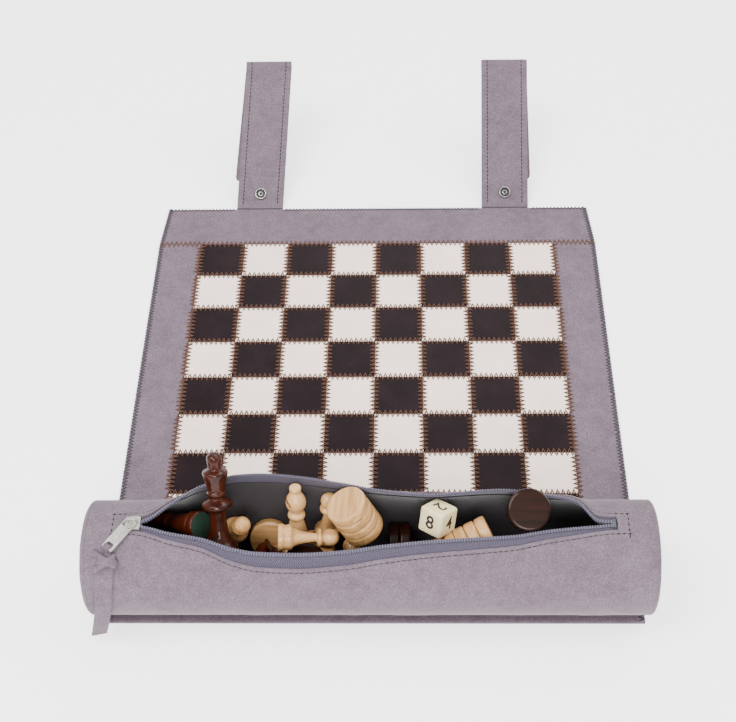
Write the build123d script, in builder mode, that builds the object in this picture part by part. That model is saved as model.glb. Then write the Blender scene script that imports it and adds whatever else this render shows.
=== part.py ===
from build123d import *
import os
from math import asin, atan2, cos, degrees, radians, sin, sqrt

# A roll-up games set. A nubuck mat carries a patchwork chessboard, and a zipped round pouch is sewn
# across its front end. Two snap straps at the far end close the roll. The mat lies flat, the zip is
# open, and chessmen, draughtsmen and a doubling cube show in the mouth of the pouch.
# X runs to the right, Y from the pouch to the straps, Z up. All sizes are in millimetres.

# Board and mat
SQUARE = 40.0          # side of one board square, on its seam lines
ROWS = 8
SIDE_BORDER = 38.5     # nubuck on each side of the board
FRONT_BAND = 75.0      # nubuck from the mat's front edge to the board
TOP_BAND = 47.0        # nubuck from the board to the mat's far edge
TOP_TAPER = 4.0        # how much each far corner draws in
BACKING = 1.2          # underside leather
FACING = 1.2           # leather of the squares and borders
SEAM = 0.2             # gap between leathers that are joined edge to edge
SQUARE_CHAMFER = 0.35
CURL_LAYERS = 0.05     # gap between faces that only lie on each other

# Pouch
TUBE_LENGTH = 396.0
TUBE_RADIUS = 41.0
TUBE_SETBACK = 29.0    # from the mat's front edge to the tube's axis
PANEL = 1.4            # pouch leather
LINING = 0.7
TAPE = 0.7
LAYER_GAP = 0.3        # between curved layers
END_DOME = 5.0         # how far each end stands out
END_ROUND = 4.0

# Zip
ZIP_SHIFT = 1.0        # the zip runs this far behind the crest
COIL_WIDTH = 2.8
COIL_HEIGHT = 1.5
COIL_GAP = 0.15        # between the coil and the tape that it is sewn to
TAPE_TUCK = 5.0        # tape hidden under the leather
ZIP_END = 168.0        # from the middle to each end of the coils
SLOT_END = 172.0       # from the middle to each end of the slot in the leather
ZIP_SEAM = 175.0       # from the middle to where the leather is full height again
TAPE_END = 180.0       # from the middle to each hidden end of the tapes
STOP_LENGTH = 3.0
STOP_WIDTH = 7.0
CLOSED_GAP = 0.6       # between the coils at the zip's ends
MOUTH_GAP = 2.4        # between the coils under the slider's mouth
EXPOSED_END = 5.5      # tape that shows beside each coil, at the ends and in the middle
EXPOSED_MIDDLE = 9.0

# The open mouth. Each station has its X and three distances in tube radii: how far the back lip is
# behind the tube's axis, how far above it, and how far the front lip is before it.
MOUTH = [
    (-140.0, 0.415, 1.061, 0.137),
    (-117.0, 0.878, 1.000, 0.239),
    (-96.0, 0.939, 1.183, 0.402),
    (-78.0, 0.939, 1.220, 0.471),
    (-50.0, 0.890, 1.195, 0.488),
    (-20.0, 0.805, 1.122, 0.451),
    (12.0, 0.671, 1.068, 0.354),
    (44.0, 0.610, 1.039, 0.280),
    (76.0, 0.683, 1.049, 0.232),
    (100.0, 0.756, 0.976, 0.195),
    (124.0, 0.695, 0.902, 0.098),
    (146.0, 0.463, 1.024, 0.037),
]

# Slider, pull tab and leather puller
SLIDER_X = -166.0
SLIDER_LENGTH = 11.0
SLIDER_WIDTH = 10.6
SLIDER_UNDER = 8.4     # width of the plate under the tapes
SLIDER_PLATE = 1.1
SLIDER_CLEAR = 0.3
SLIDER_FLANGE = 0.9
SLIDER_WEDGE = 1.0
BRIDGE_LENGTH = 7.6    # bridge on the slider that holds the pull tab
BRIDGE_WIDTH = 1.6
BRIDGE_BAR = 1.1
TAB_LENGTH = 26.5
TAB_WIDTH = 9.2
TAB_THICKNESS = 1.4
TAB_RAIL = 0.9         # metal beside the slot
TAB_SLOT = 5.5
TAB_BAR = 2.2          # metal between the hole and the end
TAB_HOLE = 3.2
TAB_HOLE_WIDTH = 5.4
TAB_TURN = -128.0      # way the tab points, counted from +X towards +Y
TAB_FALL = 10.0        # the tab slopes down by this angle
LOOP_WIDTH = 4.6       # leather where it passes through the hole
LOOP_THICKNESS = 1.2
PULLER_WIDTH = 12.0
PULLER_THICKNESS = 1.8
PULLER_FLOOR = 6.0     # height of the puller's tip
PULLER_SLANT = 4.0     # one corner of the tip is this much higher
KNOT_LENGTH = 7.0

# Straps
STRAP_X = {"left": -109.5, "right": 119.0}
STRAP_WIDTH = 43.0
STRAP_THICKNESS = 2.2
STRAP_SLOPE = 34.0     # rise of the run from the mat's edge
STRAP_RUN = 138.0
RETURN_SLOPE = 40.0    # fall of the folded tail
FOLD_RADIUS = 4.0      # inside the fold
STRAP_CORNER = 5.0
SNAP_FROM_BASE = 14.0
SNAP_FROM_TIP = 13.0
SNAP_RADIUS = 5.75
SNAP_RING = 2.0        # height of the socket ring
SNAP_CAP = 1.0
SNAP_POST = 2.0
SNAP_STUD = 1.8        # radius of the stud's ball

# Game pieces
DISC_RADIUS = 15.0
DISC_THICKNESS = 8.2
DISC_CHAMFER = 1.2
DISC_GAP = 0.05
CUBE = 19.5
CUBE_ROUND = 2.2
KING_HEIGHT = 80.0
BISHOP_HEIGHT = 58.0
PAWN_HEIGHT = 43.0
KNIGHT_HEIGHT = 51.0
REST = 0.2             # gap between a loose piece and what it lies on

# Worked-out levels and places
MAT = BACKING + FACING
HALF_BOARD = SQUARE * ROWS / 2
HALF_MAT = HALF_BOARD + SIDE_BORDER
AXIS_Z = MAT + CURL_LAYERS + TUBE_RADIUS
TAPE_OUT = TUBE_RADIUS - PANEL - LAYER_GAP
LINING_OUT = TAPE_OUT - TAPE - LAYER_GAP
INSIDE = LINING_OUT - LINING
MAT_LENGTH = FRONT_BAND + ROWS * SQUARE + TOP_BAND
HINGE_RADIUS = STRAP_THICKNESS / 2
FOLD_CENTRE_RADIUS = FOLD_RADIUS + HINGE_RADIUS


def heading(angle):
    """Unit vector in the YZ plane, its angle counted from +Y towards +Z."""
    return Vector(0, cos(radians(angle)), sin(radians(angle)))


# Strap line, from the hinge at the mat's edge: base, end of the run, centre of the fold, start of tail
base_out = MAT_LENGTH + LAYER_GAP + HINGE_RADIUS
strap_base = Vector(0, base_out, HINGE_RADIUS + CURL_LAYERS)
run_end = strap_base + heading(STRAP_SLOPE) * STRAP_RUN
fold_centre = run_end + heading(STRAP_SLOPE - 90) * FOLD_CENTRE_RADIUS
tail_start = fold_centre + heading(RETURN_SLOPE - 90) * FOLD_CENTRE_RADIUS
tail_drop = tail_start.Z - HINGE_RADIUS * cos(radians(RETURN_SLOPE)) - CURL_LAYERS
TAIL = tail_drop / sin(radians(RETURN_SLOPE))

# The origin is under the middle of the whole set, so the Y values above move by this much
front_reach = TUBE_SETBACK - TUBE_RADIUS - LAYER_GAP - PULLER_THICKNESS
back_reach = fold_centre.Y + FOLD_CENTRE_RADIUS + HINGE_RADIUS
Y_MIDDLE = (front_reach + back_reach) / 2
FRONT_EDGE = -Y_MIDDLE
AXIS_Y = FRONT_EDGE + TUBE_SETBACK
BOARD_Y = FRONT_EDGE + FRONT_BAND
FAR_EDGE = FRONT_EDGE + MAT_LENGTH
for point in (strap_base, run_end, fold_centre, tail_start):
    point.Y -= Y_MIDDLE
ZIP_Y = AXIS_Y + ZIP_SHIFT

os.makedirs("parts", exist_ok=True)


def save(builder, label):
    """Names the finished piece and writes its file."""
    builder.part.label = label
    export_step(builder.part, f"parts/{label}.step")


# Mat: bands and one strip for each row of the board. Row 8 is beside the pouch.
with BuildPart() as front_band:
    with BuildSketch():
        with Locations((0, FRONT_EDGE + (FRONT_BAND - SEAM / 2) / 2)):
            Rectangle(2 * HALF_MAT, FRONT_BAND - SEAM / 2)
    extrude(amount=MAT)
save(front_band, "front_band")

with BuildPart() as top_band:
    near = FAR_EDGE - TOP_BAND + SEAM / 2
    with BuildSketch():
        with BuildLine():
            Polyline(
                (-HALF_MAT, near),
                (HALF_MAT, near),
                (HALF_MAT - TOP_TAPER, FAR_EDGE),
                (TOP_TAPER - HALF_MAT, FAR_EDGE),
                close=True,
            )
        make_face()
    extrude(amount=MAT)
save(top_band, "top_band")


def row_middle(row):
    """Y of the middle of a row of squares."""
    return BOARD_Y + (ROWS - row + 0.5) * SQUARE


def mat_strip(row):
    """The underside leather of one row, with the two side borders on it."""
    with BuildPart() as strip:
        with BuildSketch():
            with Locations((0, row_middle(row))):
                Rectangle(2 * HALF_MAT, SQUARE - SEAM)
        extrude(amount=BACKING)
        border_middle = HALF_BOARD + (SIDE_BORDER + SEAM / 2) / 2
        with BuildSketch(Plane.XY.offset(BACKING)):
            with Locations((-border_middle, row_middle(row)), (border_middle, row_middle(row))):
                Rectangle(SIDE_BORDER - SEAM / 2, SQUARE - SEAM)
        extrude(amount=FACING)
    return strip


def row_squares(row, dark):
    """Four squares of one colour in one row. The far left square is dark."""
    with BuildPart() as squares:
        columns = [c for c in range(1, ROWS + 1) if ((row + c) % 2 == 0) == dark]
        places = [((c - 0.5) * SQUARE - HALF_BOARD, row_middle(row)) for c in columns]
        with BuildSketch(Plane.XY.offset(BACKING)):
            with Locations(*places):
                Rectangle(SQUARE - SEAM, SQUARE - SEAM)
        extrude(amount=FACING)
        chamfer(squares.faces().filter_by(Plane.XY).group_by(Axis.Z)[-1].edges(), SQUARE_CHAMFER)
    return squares


for row in range(1, ROWS + 1):
    save(mat_strip(row), f"mat_row_{row}")
    save(row_squares(row, True), f"dark_squares_row_{row}")
    save(row_squares(row, False), f"light_squares_row_{row}")


# Pouch. A wall of it is the strip between two arcs round one centre, at each station along X.
def wall_section(x, centre, outer, inner, start, end):
    """Strip between two concentric arcs, with angles counted from +Y towards +Z."""
    with BuildSketch(Plane.YZ.offset(x)) as section:
        with BuildLine():
            outside = CenterArc(centre, outer, start, end - start)
            inside = CenterArc(centre, inner, start, end - start)
            Line(outside @ 0, inside @ 0)
            Line(outside @ 1, inside @ 1)
        make_face()
    return section.sketch


def closed_station(x, gap, shown):
    """A station of the tube's own round section, with this much gap at the zip."""
    back = ZIP_SHIFT + gap / 2
    return (x, back, sqrt(TUBE_RADIUS**2 - back**2), gap / 2 - ZIP_SHIFT, shown)


def zip_stations(end):
    """X, the back lip behind and above the axis, the front lip before it, and the tape that shows."""
    slider_mouth = -SLIDER_X - SLIDER_LENGTH / 2 - 0.5
    before = [closed_station(-slider_mouth, MOUTH_GAP, EXPOSED_END)]
    after = [closed_station(slider_mouth, MOUTH_GAP, EXPOSED_END)]
    before.insert(0, closed_station(-ZIP_END, CLOSED_GAP, EXPOSED_END))
    after.append(closed_station(ZIP_END, CLOSED_GAP, EXPOSED_END))
    if end > ZIP_END:
        before.insert(0, closed_station(-end, CLOSED_GAP, EXPOSED_END))
        after.append(closed_station(end, CLOSED_GAP, EXPOSED_END))
    opened = []
    for x, *lips in MOUTH:
        opened.append((x, *[share * TUBE_RADIUS for share in lips], EXPOSED_MIDDLE))
    return before + opened + after


def back_arc(back, rise):
    """Centre, radius and top angle of the back wall, which leaves the tube upright and meets the lip."""
    inset = TUBE_RADIUS - back
    radius = (inset**2 + rise**2) / (2 * inset)
    return (AXIS_Y + TUBE_RADIUS - radius, AXIS_Z), radius, degrees(asin(min(rise / radius, 1.0)))


half_tube = TUBE_LENGTH / 2
axis_point = (AXIS_Y, AXIS_Z)
CREST = degrees(atan2(sqrt(TUBE_RADIUS**2 - ZIP_SHIFT**2), ZIP_SHIFT))
LEATHER_GAP = 0.1      # between the two leathers beyond the zip


def back_wall(drop, thickness):
    """Back leather or lining: the lower round part, and the raised part cut back along the zip."""
    outer = TUBE_RADIUS - drop
    sections = []
    ends = [closed_station(-ZIP_SEAM, LEATHER_GAP, 0), closed_station(-SLOT_END, CLOSED_GAP, EXPOSED_END)]
    others = [closed_station(SLOT_END, CLOSED_GAP, EXPOSED_END), closed_station(ZIP_SEAM, LEATHER_GAP, 0)]
    for x, back, rise, front, shown in ends + zip_stations(ZIP_END) + others:
        centre, radius, top = back_arc(back, rise)
        end = top - degrees(shown / radius)
        sections.append(wall_section(x, centre, radius - drop, radius - drop - thickness, 0, end))
    with BuildPart() as wall:
        loft(sections=sections, ruled=True)
        extrude(wall_section(-half_tube, axis_point, outer, outer - thickness, -90, 0), amount=TUBE_LENGTH)
        for near in (-half_tube, ZIP_SEAM):
            closed = wall_section(near, axis_point, outer, outer - thickness, 0, CREST)
            extrude(closed, amount=half_tube - ZIP_SEAM)
    return wall


def back_strip(end, drop, thickness, width_at):
    """Back tape or coil, which reaches down from the lip by a width that depends on the tape shown."""
    sections = []
    for x, back, rise, front, shown in zip_stations(end):
        centre, radius, top = back_arc(back, rise)
        low = top - degrees(width_at(shown) / radius)
        sections.append(wall_section(x, centre, radius - drop, radius - drop - thickness, low, top))
    with BuildPart() as strip:
        loft(sections=sections, ruled=True)
    return strip


def front_wall(outer, thickness):
    """Front leather or lining: round, and cut back in plan along the open zip."""
    with BuildPart() as wall:
        extrude(wall_section(-half_tube, axis_point, outer, outer - thickness, CREST, 270), amount=TUBE_LENGTH)
        edge = [(x, AXIS_Y - front - shown) for x, back, rise, front, shown in zip_stations(ZIP_END)]
        beyond = ZIP_Y + 2 * TAPE_TUCK
        with BuildSketch(Plane.XY.offset(AXIS_Z)) as slot:
            with BuildLine():
                left = (-SLOT_END, edge[0][1])
                right = (SLOT_END, edge[-1][1])
                Spline(*edge)
                Polyline(edge[-1], right, (SLOT_END, beyond), (-SLOT_END, beyond), left, edge[0])
            make_face()
        extrude(slot.sketch, amount=2 * TUBE_RADIUS, mode=Mode.SUBTRACT)
    return wall


def front_strip(end, outer, thickness, width_at):
    """Front tape or coil, between the lip and a line this far before it in plan."""
    with BuildPart() as strip:
        extrude(wall_section(-half_tube, axis_point, outer, outer - thickness, CREST, 180), amount=TUBE_LENGTH)
        stations = zip_stations(end)
        lip = [(x, AXIS_Y - front) for x, back, rise, front, shown in stations]
        low = [(x, AXIS_Y - front - width_at(shown)) for x, back, rise, front, shown in stations]
        with BuildSketch(Plane.XY.offset(AXIS_Z)) as plan:
            with BuildLine():
                Spline(*lip)
                Line(lip[-1], low[-1])
                Spline(*low)
                Line(low[0], lip[0])
            make_face()
        extrude(plan.sketch, amount=2 * TUBE_RADIUS, mode=Mode.INTERSECT)
    return strip


def tape_width(shown):
    return shown + TAPE_TUCK


def coil_width(shown):
    return COIL_WIDTH


coil_out = TAPE_OUT + COIL_GAP + COIL_HEIGHT
save(back_wall(0, PANEL), "pouch_back_panel")
save(back_wall(TUBE_RADIUS - LINING_OUT, LINING), "pouch_back_lining")
save(back_strip(TAPE_END, TUBE_RADIUS - TAPE_OUT, TAPE, tape_width), "zip_back_tape")
save(back_strip(ZIP_END, TUBE_RADIUS - coil_out, COIL_HEIGHT, coil_width), "zip_back_coil")
save(front_wall(TUBE_RADIUS, PANEL), "pouch_front_panel")
save(front_wall(LINING_OUT, LINING), "pouch_front_lining")
save(front_strip(TAPE_END, TAPE_OUT, TAPE, tape_width), "zip_front_tape")
save(front_strip(ZIP_END, coil_out, COIL_HEIGHT, coil_width), "zip_front_coil")


# Ends of the pouch: a round cap with a rolled rim, a little domed.
def tube_end(side):
    """side is 1 at the right end and -1 at the left."""
    rim_x = half_tube + CURL_LAYERS
    shoulder_x = rim_x + END_ROUND * 0.8
    flat = TUBE_RADIUS - END_ROUND
    outward = Plane(origin=(0, AXIS_Y, AXIS_Z), x_dir=(side, 0, 0), z_dir=(0, -side, 0))
    with BuildPart() as cap:
        with BuildSketch(outward):
            with BuildLine():
                rim = TangentArc((rim_x, TUBE_RADIUS), (shoulder_x, flat), tangent=(1, 0))
                Polyline(
                    rim @ 1,
                    (rim_x + END_DOME, 0),
                    (rim_x + END_DOME - PANEL, 0),
                    (shoulder_x - PANEL, flat - PANEL / 2),
                    (rim_x, TUBE_RADIUS - PANEL),
                    rim @ 0,
                )
            make_face()
        revolve(axis=Axis((0, AXIS_Y, AXIS_Z), (1, 0, 0)))
    return cap


save(tube_end(-1), "pouch_left_end")
save(tube_end(1), "pouch_right_end")


# Zip hardware. Heights here are counted from the tube's axis.
def block(x_low, x_high, y_low, y_high, low, high, mode=Mode.ADD):
    """Adds or cuts a box between these limits. Y is counted from the zip, Z from the tube's axis."""
    with BuildSketch(Plane.XY.offset(AXIS_Z + low)) as base:
        with Locations(((x_low + x_high) / 2, ZIP_Y + (y_low + y_high) / 2)):
            Rectangle(x_high - x_low, y_high - y_low)
    return extrude(base.sketch, amount=high - low, mode=mode)


stop_seat = TAPE_OUT + CURL_LAYERS
with BuildPart() as zip_stop:
    add(block(ZIP_END + SLIDER_CLEAR, ZIP_END + SLIDER_CLEAR + STOP_LENGTH,
              -STOP_WIDTH / 2, STOP_WIDTH / 2, stop_seat, stop_seat + COIL_HEIGHT))
    chamfer(zip_stop.edges().filter_by(Axis.Y).group_by(Axis.Z)[-1], COIL_HEIGHT / 4)
save(zip_stop, "zip_stop")

slider_low = SLIDER_X - SLIDER_LENGTH / 2
slider_high = SLIDER_X + SLIDER_LENGTH / 2
half_width = SLIDER_WIDTH / 2
under_top = sqrt((TAPE_OUT - TAPE)**2 - (SLIDER_UNDER / 2 + ZIP_SHIFT)**2) - 0.1
cover_low = coil_out + SLIDER_CLEAR
cover_top = cover_low + SLIDER_PLATE
tab_rise = TAB_THICKNESS / 2 / cos(radians(TAB_FALL)) + 0.15
tab_rise += half_width / cos(radians(90 + TAB_TURN)) * sin(radians(TAB_FALL)) * 1.02
tab_pin = Vector(SLIDER_X, ZIP_Y, AXIS_Z + cover_top + tab_rise)
bridge_low = cover_top + tab_rise + TAB_THICKNESS / 2 + SLIDER_CLEAR
with BuildPart() as zip_slider:
    add(block(slider_low, slider_high, -SLIDER_UNDER / 2, SLIDER_UNDER / 2,
              under_top - SLIDER_PLATE, under_top))
    add(block(slider_low, slider_high, -half_width, half_width, cover_low, cover_top))
    for side in (-1, 1):
        inner, outer = side * (half_width - SLIDER_FLANGE), side * half_width
        add(block(slider_low, slider_high, min(inner, outer), max(inner, outer),
                  stop_seat + SLIDER_CLEAR, cover_low))
    add(block(slider_high - SLIDER_LENGTH / 3, slider_high, -SLIDER_WEDGE / 2, SLIDER_WEDGE / 2,
              under_top, cover_low))
    for side in (-1, 1):
        post = SLIDER_X + side * (BRIDGE_LENGTH - BRIDGE_BAR) / 2
        add(block(post - BRIDGE_BAR / 2, post + BRIDGE_BAR / 2,
                  -BRIDGE_WIDTH / 2, BRIDGE_WIDTH / 2, cover_top, bridge_low))
    add(block(SLIDER_X - BRIDGE_LENGTH / 2, SLIDER_X + BRIDGE_LENGTH / 2,
              -BRIDGE_WIDTH / 2, BRIDGE_WIDTH / 2, bridge_low, bridge_low + BRIDGE_BAR))
save(zip_slider, "zip_slider")

# The pull tab lies in a plane that slopes down to the front left. It turns on the bar in the bridge.
fall, turn = radians(TAB_FALL), radians(TAB_TURN)
tab_way = Vector(cos(turn) * cos(fall), sin(turn) * cos(fall), -sin(fall))
tab_across = Vector(-sin(turn), cos(turn), 0)
tab_plane = Plane(origin=tab_pin, x_dir=tab_way, z_dir=tab_way.cross(tab_across))
pin_radius = TAB_THICKNESS / 2
hole_far = TAB_LENGTH - TAB_BAR
with BuildPart() as zip_pull_tab:
    with BuildSketch(tab_plane.offset(-TAB_THICKNESS / 2)):
        with Locations((TAB_LENGTH / 2, 0)):
            Rectangle(TAB_LENGTH, TAB_WIDTH)
        with Locations((TAB_SLOT / 2 + pin_radius, 0)):
            Rectangle(TAB_SLOT, TAB_WIDTH - 2 * TAB_RAIL, mode=Mode.SUBTRACT)
        with Locations((hole_far - TAB_HOLE / 2, 0)):
            Rectangle(TAB_HOLE, TAB_HOLE_WIDTH, mode=Mode.SUBTRACT)
    extrude(amount=TAB_THICKNESS)
    with BuildSketch(Plane(origin=tab_pin - tab_across * TAB_WIDTH / 2, z_dir=tab_across)):
        Circle(pin_radius)
    extrude(amount=TAB_WIDTH)
save(zip_pull_tab, "zip_pull_tab")

# The leather puller: a loop through the tab's hole, a knot, and a strip that lies down the tube.
loop_centre = tab_pin + tab_way * (TAB_LENGTH - TAB_BAR / 2)
loop_inner = sqrt(TAB_BAR**2 + TAB_THICKNESS**2) / 2 + 0.15
loop_outer = loop_inner + LOOP_THICKNESS
loop_y, loop_z = loop_centre.Y - AXIS_Y, loop_centre.Z - AXIS_Z
loop_angle = degrees(atan2(loop_z, loop_y))
strip_inner = TUBE_RADIUS + LAYER_GAP
strip_outer = strip_inner + PULLER_THICKNESS
puller_x = loop_centre.X - 1.5
start_angle = loop_angle + degrees((loop_outer + 2.2) / strip_outer)
knot_angle = degrees(KNOT_LENGTH / strip_outer)
with BuildPart() as leather_puller:
    with BuildSketch(Plane(origin=loop_centre - tab_across * LOOP_WIDTH / 2, z_dir=tab_across)):
        Circle(loop_outer)
        Circle(loop_inner, mode=Mode.SUBTRACT)
    extrude(amount=LOOP_WIDTH)
    knot = wall_section(puller_x - PULLER_WIDTH * 0.42, axis_point, strip_outer + PULLER_THICKNESS,
                        strip_inner, start_angle, start_angle + knot_angle)
    extrude(knot, amount=PULLER_WIDTH * 0.84)
    neck = wall_section(loop_centre.X - LOOP_WIDTH / 2, axis_point, strip_inner + LOOP_THICKNESS,
                        strip_inner, loop_angle, start_angle + knot_angle / 2)
    extrude(neck, amount=LOOP_WIDTH)
    strip = wall_section(puller_x - PULLER_WIDTH / 2, axis_point, strip_outer, strip_inner,
                         start_angle + knot_angle / 2, 180)
    extrude(strip, amount=PULLER_WIDTH)
    with BuildSketch(Plane.XZ.offset(strip_inner - AXIS_Y)) as hanging:
        with BuildLine():
            Polyline(
                (puller_x - PULLER_WIDTH / 2, AXIS_Z),
                (puller_x + PULLER_WIDTH / 2, AXIS_Z),
                (puller_x + PULLER_WIDTH / 2, PULLER_FLOOR + PULLER_SLANT),
                (puller_x - PULLER_WIDTH / 2, PULLER_FLOOR),
                close=True,
            )
        make_face()
    extrude(hanging.sketch, amount=PULLER_THICKNESS)
save(leather_puller, "leather_puller")


# Straps. Each has a run up from the mat, a fold, and a return that slopes back down to the table.
def strap_plane(point, x, normal_angle):
    """Plane in the strap's middle, its Y along the strap and its Z out of it."""
    return Plane(origin=(x, point.Y, point.Z), x_dir=(1, 0, 0), z_dir=heading(normal_angle))


half_thick = STRAP_THICKNESS / 2
post_hole = SNAP_POST + CURL_LAYERS
snap_tip = TAIL - SNAP_FROM_TIP
for side, strap_x in STRAP_X.items():
    up_plane = strap_plane(strap_base, strap_x, STRAP_SLOPE + 90)
    down_plane = strap_plane(tail_start, strap_x, RETURN_SLOPE - 90)
    with BuildPart() as strap_run:
        with BuildSketch(up_plane.offset(-half_thick)):
            with Locations((0, (STRAP_RUN - CURL_LAYERS) / 2)):
                Rectangle(STRAP_WIDTH, STRAP_RUN - CURL_LAYERS)
            with Locations((0, SNAP_FROM_BASE)):
                Circle(post_hole, mode=Mode.SUBTRACT)
        extrude(amount=STRAP_THICKNESS)
        with BuildSketch(Plane.YZ.offset(strap_x - STRAP_WIDTH / 2)):
            with Locations((strap_base.Y, strap_base.Z)):
                Circle(HINGE_RADIUS)
        extrude(amount=STRAP_WIDTH)
    save(strap_run, f"strap_{side}_run")

    with BuildPart() as strap_fold:
        bend = wall_section(strap_x - STRAP_WIDTH / 2, (fold_centre.Y, fold_centre.Z),
                            FOLD_RADIUS + STRAP_THICKNESS, FOLD_RADIUS, RETURN_SLOPE - 90, STRAP_SLOPE + 90)
        extrude(bend, amount=STRAP_WIDTH)
    save(strap_fold, f"strap_{side}_fold")

    with BuildPart() as strap_return:
        with BuildSketch(down_plane.offset(-half_thick)):
            with Locations((0, (TAIL + CURL_LAYERS) / 2)):
                body = Rectangle(STRAP_WIDTH, TAIL - CURL_LAYERS)
            fillet(body.vertices().group_by(Axis.Z)[0], STRAP_CORNER)
            with Locations((0, snap_tip)):
                Circle(post_hole, mode=Mode.SUBTRACT)
        extrude(amount=STRAP_THICKNESS)
    save(strap_return, f"strap_{side}_return")

    socket_axis = Plane(origin=up_plane.from_local_coords(Vector(0, SNAP_FROM_BASE, 0)),
                        x_dir=(1, 0, 0), z_dir=-up_plane.y_dir)
    seat = half_thick + CURL_LAYERS
    with BuildPart() as snap_socket:
        with BuildSketch(socket_axis):
            with BuildLine():
                Polyline(
                    (0, -seat - SNAP_CAP), (SNAP_RADIUS - 1, -seat - SNAP_CAP), (SNAP_RADIUS - 1, -seat),
                    (SNAP_POST, -seat), (SNAP_POST, seat), (SNAP_RADIUS, seat),
                    (SNAP_RADIUS, seat + SNAP_RING - 0.7), (SNAP_RADIUS - 1.2, seat + SNAP_RING),
                    (SNAP_STUD + 0.6, seat + SNAP_RING), (SNAP_STUD + 0.6, seat + 0.5), (0, seat + 0.5),
                    close=True,
                )
            make_face()
        revolve(axis=Axis(socket_axis.origin, up_plane.z_dir))
    save(snap_socket, f"snap_socket_{side}")

    stud_axis = Plane(origin=down_plane.from_local_coords(Vector(0, snap_tip, 0)),
                      x_dir=(1, 0, 0), z_dir=-down_plane.y_dir)
    with BuildPart() as snap_stud:
        with BuildSketch(stud_axis):
            with BuildLine():
                Polyline(
                    (0, seat + SNAP_CAP), (SNAP_RADIUS - 1.4, seat + SNAP_CAP), (SNAP_RADIUS, seat + 0.3),
                    (SNAP_RADIUS, seat), (SNAP_POST, seat), (SNAP_POST, -seat), (SNAP_RADIUS - 1, -seat),
                    (SNAP_RADIUS - 1, -seat - 0.7), (SNAP_STUD - 0.4, -seat - 0.7),
                    (SNAP_STUD, -seat - 1.7), (SNAP_STUD - 0.6, -seat - 2.4), (0, -seat - 2.4),
                    close=True,
                )
            make_face()
        revolve(axis=Axis(stud_axis.origin, down_plane.z_dir))
    save(snap_stud, f"snap_stud_{side}")


# Game pieces. Each place is a foot point and the way the piece stands.
def inside(x, behind, above):
    """Point in the pouch, counted from the tube's axis."""
    return Vector(x, AXIS_Y + behind, AXIS_Z + above)


def trough(behind, radius):
    """Height over the axis of a level round foot of this radius that stands on the lining."""
    return REST - sqrt(INSIDE**2 - (abs(behind) + radius)**2)


def stack(foot, way, count):
    """Places of draughtsmen piled face to face."""
    way = way.normalized()
    return [(foot + way * (i * (DISC_THICKNESS + DISC_GAP)), way) for i in range(count)]


def turned(profile, places):
    """Pieces turned to one profile of radius and height."""
    with BuildPart() as pieces:
        for foot, way in places:
            stand = Plane(origin=foot, z_dir=way)
            with BuildSketch(Plane(origin=foot, x_dir=stand.x_dir, z_dir=-stand.y_dir)):
                with BuildLine():
                    Polyline(*profile, close=True)
                make_face()
            revolve(axis=Axis(foot, way))
    return pieces


rim = DISC_RADIUS - DISC_CHAMFER
DISC = [(0, 0), (rim, 0), (DISC_RADIUS, DISC_CHAMFER), (DISC_RADIUS, DISC_THICKNESS - DISC_CHAMFER),
        (rim, DISC_THICKNESS), (0, DISC_THICKNESS)]
PAWN = [(0, 0), (9.8, 0), (9.8, 3), (8.8, 5.5), (9.2, 9), (6.4, 11.5), (2.8, 27), (6.4, 28.5),
        (6.4, 30.5), (3.6, 32.2), (6, 36.5), (4.4, 41.2), (0, PAWN_HEIGHT)]
KING = [(0, 0), (14, 0), (14, 4.5), (12.6, 7), (13, 10), (9.5, 14), (6.5, 22), (5.6, 36), (10.8, 39.5),
        (10.8, 43), (6.4, 46), (7.2, 49.5), (6.6, 52), (8.8, 64.5), (8, 66.5), (5.4, 67.5), (5.4, 75),
        (3.4, 79), (0, KING_HEIGHT)]
BISHOP = [(0, 0), (10.5, 0), (10.5, 3.5), (9.4, 6), (9.8, 9), (6.6, 12.5), (3.6, 28), (6.2, 31.5),
          (6.2, 34), (3.8, 36), (5.9, 39), (7.35, 44), (6.6, 48), (3, 53), (4, 55.2), (3.2, 57.4),
          (0, BISHOP_HEIGHT)]
KNIGHT_FOOT = [(0, 0), (10.5, 0), (10.5, 3.5), (9.2, 6), (9.6, 9), (6.8, 12), (6.8, 14), (0, 14)]
MITRE_SLOT = 1.2

edge_seat = INSIDE - DISC_RADIUS - REST      # middle of a disc on edge that touches the lining
first_column = stack(inside(-107, 0, trough(0, DISC_RADIUS)), Vector(0, 0, 1), 4)
second_column = stack(inside(-46, -13, trough(-13, DISC_RADIUS)), Vector(0, 0, 1), 5)


def on_edge(x, angle, count):
    """Discs on edge, side by side from x to the right, at this angle round the lining."""
    middle = heading(angle) * edge_seat
    return stack(inside(x, middle.Y, middle.Z), Vector(1, 0, 0), count)


shadow_angle = -30
below_angle = shadow_angle - 2 * degrees(asin((DISC_RADIUS + REST / 2) / edge_seat))
facing_pair = stack(inside(111, 15.4, 35.6), Vector(0, -0.55, 0.84), 2)
dark_places = first_column + second_column + on_edge(12.5, shadow_angle, 2)
dark_places += on_edge(38, -90, 2) + facing_pair
save(turned(DISC, dark_places), "dark_draughts")

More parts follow.
